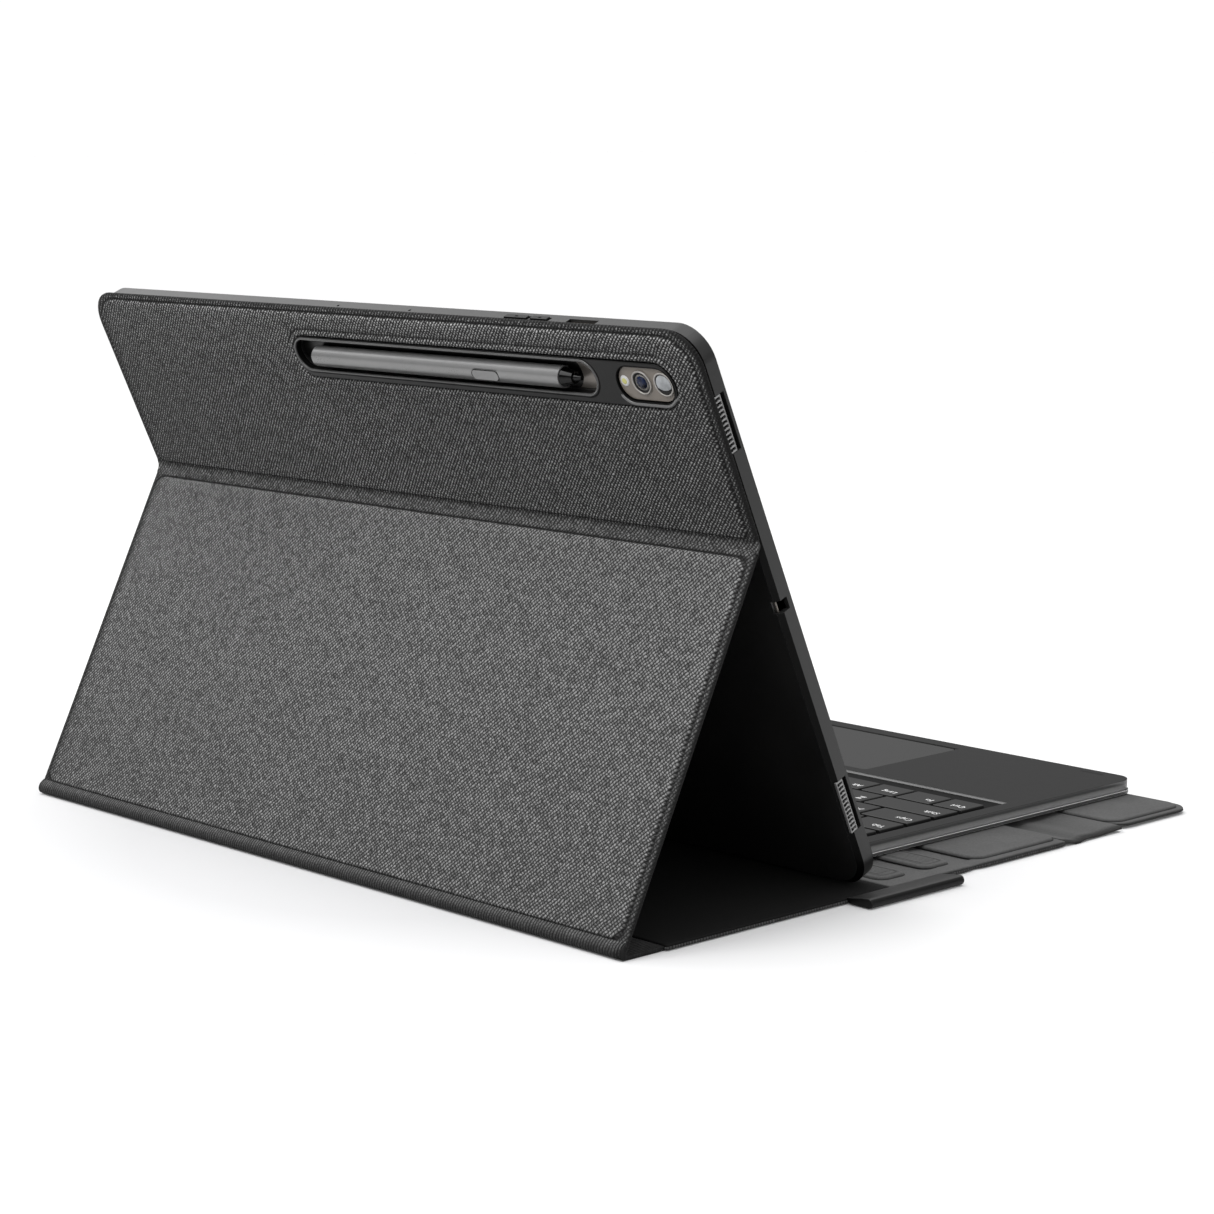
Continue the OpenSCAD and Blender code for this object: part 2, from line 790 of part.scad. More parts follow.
base_cover();
base_board();
base_lining();
front_board();
stand_strips();
front_pad();
base_magnets();
spine_band();
wave_hinge();
closing_cover();
closing_board();
closing_lining();
closing_pad();
closing_magnets();
closure_tab();
tab_magnet();
flap_cover();
flap_board();
flap_lining();
flap_pad();
flap_magnets();
crease_band();
upper_cover();
upper_board();
upper_pad();
slot_bezel();
tray_shell();
tray_lining();
volume_cover();
power_cover();
tablet_housing();
tablet_battery();
tablet_screen();
speaker_grilles();
camera_plate();
camera_rings();
camera_lenses();
flash_lens();
pen_barrel();
pen_tip();
pen_button();
keyboard_base();
keyboard_top();
keyboard_battery();
circuit_board();
switch_sheet();
keyboard_magnets();
keyboard_feet();
indicator_lens();
charge_port();
power_switch();
touchpad();
touchpad_board();
function_keys();
number_keys();
tab_keys();
caps_keys();
shift_keys();
ctrl_keys();
space_bar();
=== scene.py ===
import json
import math

import bmesh
import bpy
from mathutils import Matrix, Vector
from mathutils.geometry import tessellate_polygon

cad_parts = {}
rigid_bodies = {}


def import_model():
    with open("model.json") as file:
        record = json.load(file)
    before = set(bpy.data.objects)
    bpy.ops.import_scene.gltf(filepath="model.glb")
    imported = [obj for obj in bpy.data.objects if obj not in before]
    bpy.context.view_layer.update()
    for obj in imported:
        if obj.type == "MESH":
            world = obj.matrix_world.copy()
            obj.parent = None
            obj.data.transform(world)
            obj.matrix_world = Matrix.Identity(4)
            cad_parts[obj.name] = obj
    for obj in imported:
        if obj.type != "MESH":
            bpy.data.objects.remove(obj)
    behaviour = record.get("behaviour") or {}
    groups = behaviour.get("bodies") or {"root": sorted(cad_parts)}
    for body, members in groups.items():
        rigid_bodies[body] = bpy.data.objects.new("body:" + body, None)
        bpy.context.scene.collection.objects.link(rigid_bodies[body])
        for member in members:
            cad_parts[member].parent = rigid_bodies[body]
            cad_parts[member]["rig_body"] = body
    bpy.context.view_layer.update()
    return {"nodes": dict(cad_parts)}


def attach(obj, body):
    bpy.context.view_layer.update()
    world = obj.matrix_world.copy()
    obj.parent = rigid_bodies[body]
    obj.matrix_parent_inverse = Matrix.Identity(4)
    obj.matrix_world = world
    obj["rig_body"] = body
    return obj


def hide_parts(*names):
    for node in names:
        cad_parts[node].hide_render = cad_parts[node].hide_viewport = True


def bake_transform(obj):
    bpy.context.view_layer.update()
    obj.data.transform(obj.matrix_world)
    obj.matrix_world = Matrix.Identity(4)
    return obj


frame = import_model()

scene = bpy.context.scene
scene.view_settings.view_transform = "Standard"
MM = 0.001

# ---- frames, repeated from the CAD source, in millimetres ----

FOLD_Y = 75
CREASE = (0, 13.7, 125.4)
LEAN = 23.9
FLAP_ANGLE = 63.95
TRAY = Matrix.Translation(Vector(CREASE) * MM) @ Matrix.Rotation(math.radians(90 - LEAN), 4, "X")
FLAP = Matrix.Translation(Vector(CREASE) * MM) @ Matrix.Rotation(
    math.radians(180 - FLAP_ANGLE), 4, "X")
WORLD = Matrix.Identity(4)


def section_point(matrix, y, z):
    """(y, z) in the row frame, in mm, of a point in the tray's or the flap's frame."""
    p = matrix @ Vector((0, y * MM, z * MM))
    return p.y / MM, p.z / MM


# ---- materials ----


class Finish:
    """A Principled material whose colour, roughness and bump come from nodes."""

    def __init__(self, name, **sockets):
        self.material = bpy.data.materials.new(name)
        self.material.use_nodes = True
        self.tree = self.material.node_tree
        self.shader = self.tree.nodes["Principled BSDF"]
        for key, value in sockets.items():
            self.shader.inputs[key.replace("_", " ")].default_value = value

    def node(self, kind, inputs=(), **settings):
        made = self.tree.nodes.new(kind)
        for key, value in settings.items():
            setattr(made, key, value)
        for key, value in dict(inputs).items():
            if isinstance(value, bpy.types.NodeSocket):
                self.tree.links.new(value, made.inputs[key])
            else:
                made.inputs[key].default_value = value
        return made

    def math(self, operation, *values):
        return self.node("ShaderNodeMath", dict(enumerate(values)), operation=operation).outputs[0]

    def coordinates(self, uv, scale=(1, 1, 1), turn=0):
        if uv:
            source = self.node("ShaderNodeUVMap", uv_map="weave").outputs[0]
        else:
            source = self.node("ShaderNodeTexCoord").outputs["Object"]
        return self.node("ShaderNodeMapping", {
            "Vector": source, "Scale": scale, "Rotation": (0, 0, math.radians(turn))}).outputs[0]

    def noise(self, vector, scale, detail=2.0, rough=0.5):
        return self.node("ShaderNodeTexNoise", {
            "Vector": vector, "Scale": scale, "Detail": detail, "Roughness": rough}).outputs[0]

    def ramp(self, value, low, high, to_low=0.0, to_high=1.0):
        return self.node("ShaderNodeMapRange", {
            0: value, 1: low, 2: high, 3: to_low, 4: to_high}).outputs[0]

    def colour(self, factor, dark, light):
        """A mix of two colours, each a linear triple or a socket."""
        mix = self.node("ShaderNodeMix", data_type="RGBA")
        self.tree.links.new(factor, mix.inputs["Factor"])
        for name, value in (("A", dark), ("B", light)):
            socket = next(s for s in mix.inputs if s.type == "RGBA" and s.name == name)
            if isinstance(value, bpy.types.NodeSocket):
                self.tree.links.new(value, socket)
            else:
                socket.default_value = (*value, 1)
        return next(s for s in mix.outputs if s.type == "RGBA")

    def painted(self):
        """The painted shade and highlight on the mesh: 1 where nothing is painted, less for painted
        shade, more for painted highlight.
        """
        return self.node("ShaderNodeAttribute", attribute_name="tone").outputs["Fac"]

    def use(self, colour=None, rough=None, height=None, depth=0.0001, strength=1.0):
        if colour is not None:
            self.tree.links.new(colour, self.shader.inputs["Base Color"])
        if rough is not None:
            self.tree.links.new(rough, self.shader.inputs["Roughness"])
        if height is not None:
            bump = self.node("ShaderNodeBump", {
                "Height": height, "Distance": depth, "Strength": strength})
            self.tree.links.new(bump.outputs[0], self.shader.inputs["Normal"])
        return self.material


def grey(level, tint=(1, 1, 1)):
    """A linear colour from an sRGB grey level."""
    s = level / 255
    linear = s / 12.92 if s <= 0.04045 else ((s + 0.055) / 1.055) ** 2.4
    return tuple(linear * t for t in tint)


def woven(name, gap, thread, pitch, bead, turn=0, shift=0.5, crossing=0.6, depth=0.00012,
          fleck=0.5, streak=0.2, sheen=0.05, rough=0.8, sharp=1.0):
    """Woven cloth: ribs pitch mm apart at turn degrees from X, with a thread crossing every bead
    mm; a sharp weave has narrower threads and wider gaps."""
    f = Finish(name, Roughness=rough, Sheen_Weight=sheen, Sheen_Roughness=0.5,
               Specular_IOR_Level=0.25)
    plain = f.coordinates(True)
    turned = f.node("ShaderNodeVectorRotate", {"Vector": plain, "Angle": math.radians(-turn)},
                    rotation_type="Z_AXIS").outputs[0]
    axes = f.node("ShaderNodeSeparateXYZ", {0: turned})
    sway = f.math("MULTIPLY_ADD", f.noise(plain, 260, 2), 0.9, -0.45)
    slip = f.math("MULTIPLY_ADD", f.noise(plain, 420, 2), 2.2, -1.1)
    across = f.math("ADD", f.math("DIVIDE", axes.outputs[1], pitch * MM), sway)
    row = f.math("FLOOR", across)
    along = f.math("ADD", f.math("ADD", f.math("DIVIDE", axes.outputs[0], bead * MM),
                                 f.math("MULTIPLY", row, shift)), slip)
    bump_u = f.math("ABSOLUTE", f.math("SINE", f.math("MULTIPLY", along, math.pi)))
    bump_v = f.math("ABSOLUTE", f.math("SINE", f.math("MULTIPLY", across, math.pi)))
    height = f.math("MULTIPLY", bump_v, f.math("MULTIPLY_ADD", bump_u, crossing, 1 - crossing))
    height = f.math("POWER", height, sharp)
    cell = f.node("ShaderNodeCombineXYZ", {0: f.math("FLOOR", along), 1: row})
    white = f.node("ShaderNodeTexWhiteNoise", {"Vector": cell.outputs[0]},
                   noise_dimensions="2D").outputs["Value"]
    tone = f.math("MULTIPLY_ADD", white, fleck, 1 - fleck / 2)
    long_u = f.noise(f.coordinates(True, (60, 900, 1)), 1.0, 2)
    long_v = f.noise(f.coordinates(True, (900, 60, 1)), 1.0, 2)
    cloud = f.noise(plain, 45, 3)
    lines = f.math("ADD", f.math("ADD", long_u, long_v), f.math("MULTIPLY", cloud, 0.4))
    lines = f.math("MULTIPLY_ADD", f.math("SUBTRACT", lines, 1.2), streak * 2, 1.0)
    raised = f.math("MULTIPLY", height, tone)
    # yarn streaks times the painted shade and painted highlight of the tone layer
    streaks_and_painted_light = f.math("MULTIPLY", lines, f.painted())
    return f.use(f.colour(f.math("MULTIPLY", raised, streaks_and_painted_light), gap, thread), height=raised,
                 depth=depth)


def napped(name, dark, light, sheen=0.1, rough=0.9, depth=0.00004, grain=1400, toned=False):
    """Microfibre or suede: a short nap with soft patches; a toned one takes the painted shade and
    painted highlight of the tone layer.
    """
    f = Finish(name, Roughness=rough, Sheen_Weight=sheen, Sheen_Roughness=0.6,
               Specular_IOR_Level=0.2)
    at = f.coordinates(False)
    fine = f.noise(at, grain, 2, 0.6)
    patches = f.noise(at, 60, 3)
    factor = f.math("ADD", f.math("MULTIPLY", fine, 0.7), f.math("MULTIPLY", patches, 0.3))
    factor = f.ramp(factor, 0.3, 0.7, 0.5 if toned else 0.0)
    # painted shade and painted highlight from the tone layer
    if toned:
        factor = f.math("MULTIPLY", factor, f.painted())
    return f.use(f.colour(factor, dark, light), height=fine, depth=depth)


def moulded(name, dark, light, rough=(0.4, 0.55), depth=0.00002, grain=2200, metallic=0.0,
            coat=0.0, specular=0.5, patch=30):
    """Moulded plastic, painted metal or glass: fine grain, uneven gloss, slight changes of tone."""
    f = Finish(name, Metallic=metallic, Coat_Weight=coat, Coat_Roughness=0.08,
               Specular_IOR_Level=specular)
    at = f.coordinates(False)
    fine = f.noise(at, grain, 2, 0.5)
    patches = f.noise(at, patch, 4, 0.6)
    gloss = f.ramp(f.math("ADD", f.math("MULTIPLY", fine, 0.4), f.math("MULTIPLY", patches, 0.6)),
                   0.3, 0.7, rough[0], rough[1])
    return f.use(f.colour(f.ramp(patches, 0.3, 0.7), dark, light), gloss, fine, depth)


def painted_highlight_band(name, low, high, bottom, top):
    """Plastic with a painted highlight that changes from low to high between two heights in mm."""
    f = Finish(name, Specular_IOR_Level=0.5)
    at = f.coordinates(False)
    height = f.math("ADD", f.node("ShaderNodeSeparateXYZ", {0: at}).outputs[2],
                    f.math("MULTIPLY", f.noise(at, 900, 2), 0.0002))
    return f.use(f.colour(f.ramp(height, bottom * MM, top * MM), low, high),
                 f.ramp(f.noise(at, 2600, 2), 0.3, 0.7, 0.3, 0.38))


FLAP_CLOTH = woven("flap_cloth", grey(6), grey(147), 1.24, 1.14, 132, 0.0, 0.75, 0.0002, 1.0,
                   0.12, sharp=1.5)
UPPER_CLOTH = woven("upper_cloth", grey(1), grey(185), 1.16, 1.2, 132, 0.0, 0.75, 0.0003, 1.1,
                    0.3, sharp=3.0)
SPINE_CLOTH = woven("spine_cloth", grey(3), grey(150), 1.3, 1.2, 90, 0.5, 0.3, 0.0003, 0.5,
                    sharp=1.5)
COVER_CLOTH = woven("cover_cloth", grey(8), grey(84), 0.9, 0.9, 45, 0.0, 0.7, 0.0001, 0.4)
LINING = napped("lining_microfibre", grey(13), grey(80), toned=True)
DARK_LINING = napped("dark_microfibre", grey(8), grey(14), 0.0)
STRAP = napped("strap_leatherette", grey(3), grey(62), 0.0, 0.42, 0.00003, 900, True)
TRAY_PLASTIC = moulded("tray_plastic", grey(34), grey(44), (0.36, 0.46), 0.00001)
# painted shade: a darker copy of the tray's plastic for its side walls
TRAY_SIDE_SHADE = moulded("tray_side_painted_shade", grey(16), grey(24), (0.3, 0.38), 0.00001)
# painted shade: black for shaded slopes, gaps, slots and the deck's rim
SHADE_BLACK = moulded("painted_shade_black", grey(3), grey(5), (0.5, 0.6), specular=0.1)
BEZEL_PLASTIC = moulded("bezel_plastic", grey(10), grey(15), (0.3, 0.38), specular=0.18)
# the comb's bars are painted light grey as a painted highlight
COMB_HIGHLIGHT = moulded("comb_painted_highlight", grey(150), grey(166), (0.3, 0.4))
BUTTON_PLASTIC = moulded("button_plastic", grey(12), grey(18), (0.4, 0.5), specular=0.3)
# painted highlight: a lighter copy of the tray's plastic for its bevels
TRAY_EDGE_HIGHLIGHT = moulded("tray_edge_painted_highlight", grey(62), grey(74), (0.3, 0.38), 0.00001)
# painted light: a lighter copy of the deck's plastic for the front wall of the keys' well
WELL_WALL_HIGHLIGHT = moulded("well_wall_painted_light", grey(112), grey(124), (0.4, 0.5), 0.00001)
GRAPHITE = moulded("tablet_graphite", grey(112, (1.1, 1, 0.9)), grey(124, (1.1, 1, 0.9)),
                   (0.28, 0.38), 0.000008, 3000, 0.4)
SCREEN = moulded("screen_glass", grey(6), grey(9), (0.04, 0.09), 0.0000005, 40, 0, 1.0)
GRILLE = moulded("grille_metal", grey(120), grey(140), (0.3, 0.4), 0.00001, 2200, 0.9)
TAUPE = moulded("camera_taupe", grey(126, (1.14, 1, 0.86)), grey(134, (1.14, 1, 0.86)),
                (0.35, 0.45), 0.000005)
RING = moulded("ring_metal", grey(158, (1.05, 1, 0.94)), grey(176, (1.05, 1, 0.94)),
               (0.3, 0.4), 0.000005, 2200, 0.3)
BARREL_BLACK = moulded("lens_barrel", grey(3), grey(6), (0.25, 0.4), specular=0.15)
LENS_GLASS = moulded("lens_glass", grey(10, (0.7, 0.9, 1.8)), grey(58, (0.5, 0.85, 2.6)),
                     (0.03, 0.08), 0.0000005, 60, 0, 0.0, 0.12, 500)
DEEP_GLASS = moulded("deep_lens_glass", grey(30, (0.4, 0.8, 2.6)), grey(44, (0.4, 0.8, 2.6)),
                     (0.03, 0.08), 0.0000005, 60, 0, 0.0, 0.3, 500)
PALE_GLASS = moulded("pale_lens_glass", grey(160, (0.95, 1, 1.05)), grey(220, (0.95, 1, 1.05)),
                     (0.05, 0.1), 0.0000005, 60, 0, 0.3, 0.5, 200)
FLASH = moulded("flash_plastic", grey(238), grey(250), (0.3, 0.4))
FLASH_CORE = moulded("flash_phosphor", grey(226, (1.05, 1.02, 0.35)), grey(244, (1.02, 1, 0.4)),
                     (0.4, 0.5))
# light grey lips of the camera window and the pen slot: painted highlights on the bezel's edges
SILL_HIGHLIGHT = moulded("window_sill", grey(96), grey(112), (0.2, 0.28), 0.000004)
SLOT_LIP_HIGHLIGHT = moulded("slot_lip_painted_highlight", grey(70), grey(84), (0.2, 0.28), 0.000004)
PEN = moulded("pen_metal", grey(126), grey(134), (0.26, 0.32), 0.0000003, 3000, 0.35)
# painted shade: black for the tablet's back seen through the pen slot
SLOT_SHADE = moulded("painted_slot_shade", grey(4), grey(7), (0.3, 0.4), 0.000001, specular=0.2)
PEN_TIP = moulded("pen_tip_plastic", grey(3), grey(6), (0.1, 0.16), 0.000002, specular=0.22)
KEYBOARD = moulded("keyboard_plastic", grey(26), grey(32), (0.28, 0.36), 0.000008, 2600,
                   specular=0.1)
# painted highlight on the deck's outer walls, brightest at their foot, and on the bevels of the
# base's lip
SIDE_HIGHLIGHT = painted_highlight_band("painted_highlight_side", grey(250), grey(80), 5.9, 7.9)
EDGE_HIGHLIGHT = moulded("painted_highlight_edge", grey(226), grey(236), (0.3, 0.38), 0.000006, 2600)
KEYBOARD_BASE = moulded("keyboard_base_plastic", grey(60), grey(72), (0.34, 0.44), 0.000012, 2600)
KEYCAP = moulded("keycap_plastic", grey(20), grey(25), (0.4, 0.5), 0.000014, 2600)
LEGEND = moulded("legend_paint", grey(232), grey(246), (0.5, 0.6))
TOUCHPAD = moulded("touchpad_glass", grey(34), grey(40), (0.16, 0.24), 0.000002, 2600,
                   specular=0.3)
RUBBER = moulded("rubber", grey(18), grey(26), (0.7, 0.85), 0.00004, 1200)
SILICONE = moulded("switch_silicone", grey(150), grey(170), (0.6, 0.7), 0.00002, 1600)
BOARD = moulded("grey_board", grey(130, (1, 1, 0.95)), grey(150, (1, 1, 0.95)), (0.8, 0.9),
                0.00005, 900)
MAGNET = moulded("nickel_plate", grey(170), grey(190), (0.2, 0.35), 0.00001, 1800, 0.9)
FOIL = moulded("battery_foil", grey(150), grey(175), (0.3, 0.5), 0.00004, 400, 0.7)
GREEN_BOARD = moulded("board_green", grey(70, (0.35, 1.2, 0.7)), grey(84, (0.35, 1.2, 0.7)),
                      (0.4, 0.5), 0.00002, 900)
LAMP = moulded("lens_plastic", grey(4), grey(7), (0.3, 0.4), specular=0.1)
PORT = moulded("port_metal", grey(130), grey(160), (0.25, 0.35), 0.00001, 2200, 0.9)

# ---- mesh building ----

FAR_SIDE_SHADE = 0.6               # how much painted shade darkens a panel's edge on its +X side
SHARP_EDGE = math.radians(32)      # edges that turn more than this are bevelled


def rounded(x0, x1, y0, y1, r, n=8, runs=(1, 1)):
    """Points round a rectangle with round corners, anticlockwise from its lower left corner."""
    radii = r if isinstance(r, tuple) else (r,) * 4
    corners = ((x0 + radii[0], y0 + radii[0], 180), (x1 - radii[1], y0 + radii[1], 270),
               (x1 - radii[2], y1 - radii[2], 0), (x0 + radii[3], y1 - radii[3], 90))
    arcs = []
    for (cx, cy, start), radius in zip(corners, radii):
        turns = [math.radians(start + 90 * i / n) for i in range(n + 1)]
        arcs.append([(cx + radius * math.cos(a), cy + radius * math.sin(a)) for a in turns])
    points = []
    for k, arc in enumerate(arcs):
        points += arc
        (ax, ay), (bx, by) = arc[-1], arcs[(k + 1) % 4][0]
        steps = runs[k % 2]
        points += [(ax + (bx - ax) * i / steps, ay + (by - ay) * i / steps)
                   for i in range(1, steps)]
    return points


def stadium(x0, x1, y0, y1, n=16):
    return rounded(x0, x1, y0, y1, (y1 - y0) / 2 - 0.001, n)


def level(points, z):
    return [(x, y, z) for x, y in points]


class Shape:
    """A mesh in mm, built ring by ring, with a UV map in metres for the weave."""

    def __init__(self):
        self.bm = bmesh.new()
        self.weave = self.bm.loops.layers.uv.new("weave")
        # per vertex: painted shade below 1, painted highlight above 1
        self.tone = self.bm.verts.layers.float.new("tone")

    def ring(self, points, tone=1.0):
        made = [self.bm.verts.new(Vector(p) * MM) for p in points]
        for k, vert in enumerate(made):
            vert[self.tone] = tone[k] if isinstance(tone, list) else tone
        return made

    def face(self, verts, uvs=None):
        if len(set(verts)) < 3:
            return
        made = self.bm.faces.new(verts)
        for k, loop in enumerate(made.loops):
            co = loop.vert.co
            loop[self.weave].uv = uvs[k] if uvs else (co.x, co.y)

    def bridge(self, a, b, lengths=None):
        for i in range(len(a)):
            j = (i + 1) % len(a)
            uvs = None
            if lengths:
                s0, s1 = lengths[i], lengths[i + 1]
                uvs = [(a[i].co.x, s0), (a[j].co.x, s1), (b[j].co.x, s1), (b[i].co.x, s0)]
            self.face((a[i], a[j], b[j], b[i]), uvs)

    def cap(self, ring, holes=()):
        if not holes:
            self.face(ring)
            return
        polygons = [[v.co for v in r] for r in (ring, *holes)]
        flat = [v for r in (ring, *holes) for v in r]
        for triangle in tessellate_polygon(polygons):
            self.face([flat[k] for k in triangle])

    def loft(self, loops, lengths=None, first=True, last=True, tones=None):
        rings = [self.ring(loop, tones[k] if tones else 1.0) for k, loop in enumerate(loops)]
        for a, b in zip(rings, rings[1:]):
            self.bridge(a, b, lengths)
        if first:
            self.cap(rings[0])
        if last:
            self.cap(rings[-1])
        return rings

    def sweep(self, section, xs, tones=None):
        """A closed section, points (y, z), swept along X."""
        lengths = [0.0]
        for k, (y, z) in enumerate(section):
            ny, nz = section[(k + 1) % len(section)]
            lengths.append(lengths[-1] + math.hypot(ny - y, nz - z) * MM)
        return self.loft([[(x, y, z) for y, z in section] for x in xs], lengths,
                         tones=[tones] * len(xs) if tones else None)


def row_tones(row, loop, middle, width):
    """Painted tones along one ring of a panel: one at its ends, another at its sides;
    painted shade darkest at +X.
    """
    end, side = row[6] if len(row) > 6 and isinstance(row[6], tuple) else (
        (row[6] if len(row) > 6 else 1.0),) * 2
    half, r = width / 2 - row[0], max(row[4], row[5])
    shares = [min(1, max(0, (abs(p[0] - middle) - half + r) / r)) for p in loop]
    dark = FAR_SIDE_SHADE if side != end else 0.0
    return [(end + (side - end) * share) * (1 - dark * share * (p[0] > middle))
            for p, share in zip(loop, shares)]


def panel(bounds, profile, holes=(), runs=(24, 12)):
    """A rounded plate from rows of: insets at the sides, below and above, z, upper and lower
    radius, and a painted tone or a pair of them, below 1 for painted shade and above 1 for painted
    highlight. A hole is rows of (loop, z, lift of a point, painted tones)."""
    x0, x1, y0, y1 = bounds
    shape = Shape()
    loops = [level(rounded(x0 + ix, x1 - ix, y0 + ib, y1 - it, (rb, rb, rt, rt), 8, runs), z)
             for ix, ib, it, z, rt, rb, *_ in profile]
    tones = [row_tones(row, loop, (x0 + x1) / 2, x1 - x0) for row, loop in zip(profile, loops)]
    rings = shape.loft(loops, first=not holes, last=not holes, tones=tones)
    if holes:
        inner = [shape.loft([[(x, y, z + lift(y)) for x, y in loop] for loop, z, lift, _ in hole],
                            first=False, last=False, tones=[tone for *_, tone in hole])
                 for hole in holes]
        shape.cap(rings[0], [h[0] for h in inner])
        shape.cap(rings[-1], [h[-1] for h in inner])
    return shape


def finish_piece(name, bm, matrix, material, body=None, replaces=(), bevel=None,
                 flat=False):
    bmesh.ops.recalc_face_normals(bm, faces=bm.faces)
    mesh = bpy.data.meshes.new(name)
    bm.to_mesh(mesh)
    bm.free()
    obj = bpy.data.objects.new(name, mesh)
    scene.collection.objects.link(obj)
    obj.matrix_world = matrix
    mesh.materials.append(material)
    mesh.polygons.foreach_set("use_smooth", [not flat] * len(mesh.polygons))
    if bevel:
        width, segments = bevel
        made = obj.modifiers.new("edge", "BEVEL")
        made.width = width * MM
        made.segments = segments
        made.limit_method = "ANGLE"
        made.angle_limit = SHARP_EDGE
        made.use_clamp_overlap = True
    if not flat:
        weighted = obj.modifiers.new("normals", "WEIGHTED_NORMAL")
        weighted.keep_sharp = False
        weighted.weight = 80
    if body:
        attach(obj, body)
    if replaces:
        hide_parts(*replaces)
    return obj


def refine(node, name, material, matrix=WORLD, bevel=(0.3, 2), wide=None, paint=None,
           others=(), bevelled=-1):
    """A copy of a CAD node with its edges rounded, which stands for it. wide(middle of an edge, in
    mm) gives the share of the bevel's width; paint(middle of a face, normal) its material."""
    source = frame["nodes"][node]
    bm = bmesh.new()
    bm.from_mesh(source.data)
    bmesh.ops.remove_doubles(bm, verts=bm.verts, dist=0.002 * MM)
    bmesh.ops.dissolve_limit(bm, angle_limit=math.radians(1), verts=bm.verts, edges=bm.edges)
    bm.transform(matrix.inverted())
    if wide:
        share = bm.edges.layers.float.new("bevel_weight_edge")
        for made in bm.edges:
            if len(made.link_faces) == 2 and made.calc_face_angle() > SHARP_EDGE:
                made[share] = wide((made.verts[0].co + made.verts[1].co) / 2 / MM)
    bm.normal_update()
    for made in bm.faces:
        made.material_index = paint(made.calc_center_median() / MM, made.normal) if paint else 0
    obj = finish_piece(name, bm, matrix, material, source["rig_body"], (node,), bevel)
    for other in others:
        obj.data.materials.append(other)
    obj.modifiers["edge"].material = bevelled
    if wide:
        obj.modifiers["edge"].limit_method = "WEIGHT"
    return obj


def keep(node, material):
    """A CAD node that stays as it is, with a better material."""
    obj = frame["nodes"][node]
    obj.data.materials.clear()
    obj.data.materials.append(material)


# ---- flap ----

HALF = 167
FLAP_LOW, FLAP_HIGH = -136.38, -1.5
LINING_INSET = 5.2
# the seventh column is painted tone: painted highlight on the pad's raised edge, painted shade in
# its groove and round the cover's rim
flap_profile = [
    (70, 52, 52, -1.0, 2, 2), (40, 34, 34, -1.0, 2, 2), (20, 16, 16, -0.99, 3, 3),
    (7, 6, 7, -0.97, 3.6, 3.6, 1.0), (4.4, 4.2, 4.2, -0.94, 4.2, 4.2, (1.25, 1.1)),
    (3.6, 3.5, 3.5, -0.8, 4.7, 4.7, (1.35, 1.1)), (3.25, 3.2, 3.2, -0.5, 5, 5, (0.7, 0.7)),
    (3.05, 3.0, 3.0, -0.1, 5.1, 5.1, (0.1, 0.25)), (2.75, 2.7, 2.7, 0.1, 5.2, 5.2, (0.0, 0.15)),
    (2.45, 2.4, 2.4, 0.0, 4.6, 4.6, (0.1, 0.1)), (2.2, 2.1, 2.1, -0.12, 4, 4, (0.45, 0.35)),
    (1.5, 1.5, 1.5, -0.16, 2.6, 2.6, (0.6, 0.5)), (0.9, 0.7, 0.7, -0.14, 1.6, 1.6, (0.6, 0.45)),
    (0.4, 0.3, 0.2, 0.05, 1.2, 1.2, (0.6, 0.1)), (0, 0, 0, 0.4, 1, 1, (0.3, 0.0)),
    (0, 0, 0, 1.05, 1, 1, (0.1, 0)), (0.3, 0.3, 0.2, 1.38, 1, 1, 0), (0.9, 0.8, 0.6, 1.5, 1, 1, 0),
    (5, 5, 3, 1.5, 2, 2, 0), (5.1, 5.1, 3.1, 1.3, 2, 2, 0)]
skin = panel((-HALF, HALF, FLAP_LOW, FLAP_HIGH), flap_profile, runs=(48, 20))
# painted light: the flap's cloth is painted brighter towards its top edge
for vert in skin.bm.verts:
    vert[skin.tone] *= 1.18 + 2.4 * vert.co.y
flap_skin = finish_piece("flap_skin", skin.bm, FLAP, FLAP_CLOTH, "flap",
                         ("flap_cover", "flap_pad"))
lining = panel((-HALF + LINING_INSET, HALF - LINING_INSET, FLAP_LOW + LINING_INSET,
                FLAP_HIGH - 3.2), [
    (0, 0, 0, 1.31, 2, 2), (0, 0, 0, 1.44, 2, 2), (0.3, 0.3, 0.3, 1.52, 1.7, 1.7)])
finish_piece("flap_lining_cloth", lining.bm, FLAP, DARK_LINING, "flap",
             ("flap_lining",))

# ---- upper cover ----

UPPER_LOW, UPPER_HIGH = 1.5, 76.7
BEZEL = (-153.1, 43.6, 48.7, 64.8)


def bezel_loop(grow):
    return stadium(BEZEL[0] - grow, BEZEL[1] + grow, BEZEL[2] - grow, BEZEL[3] + grow)


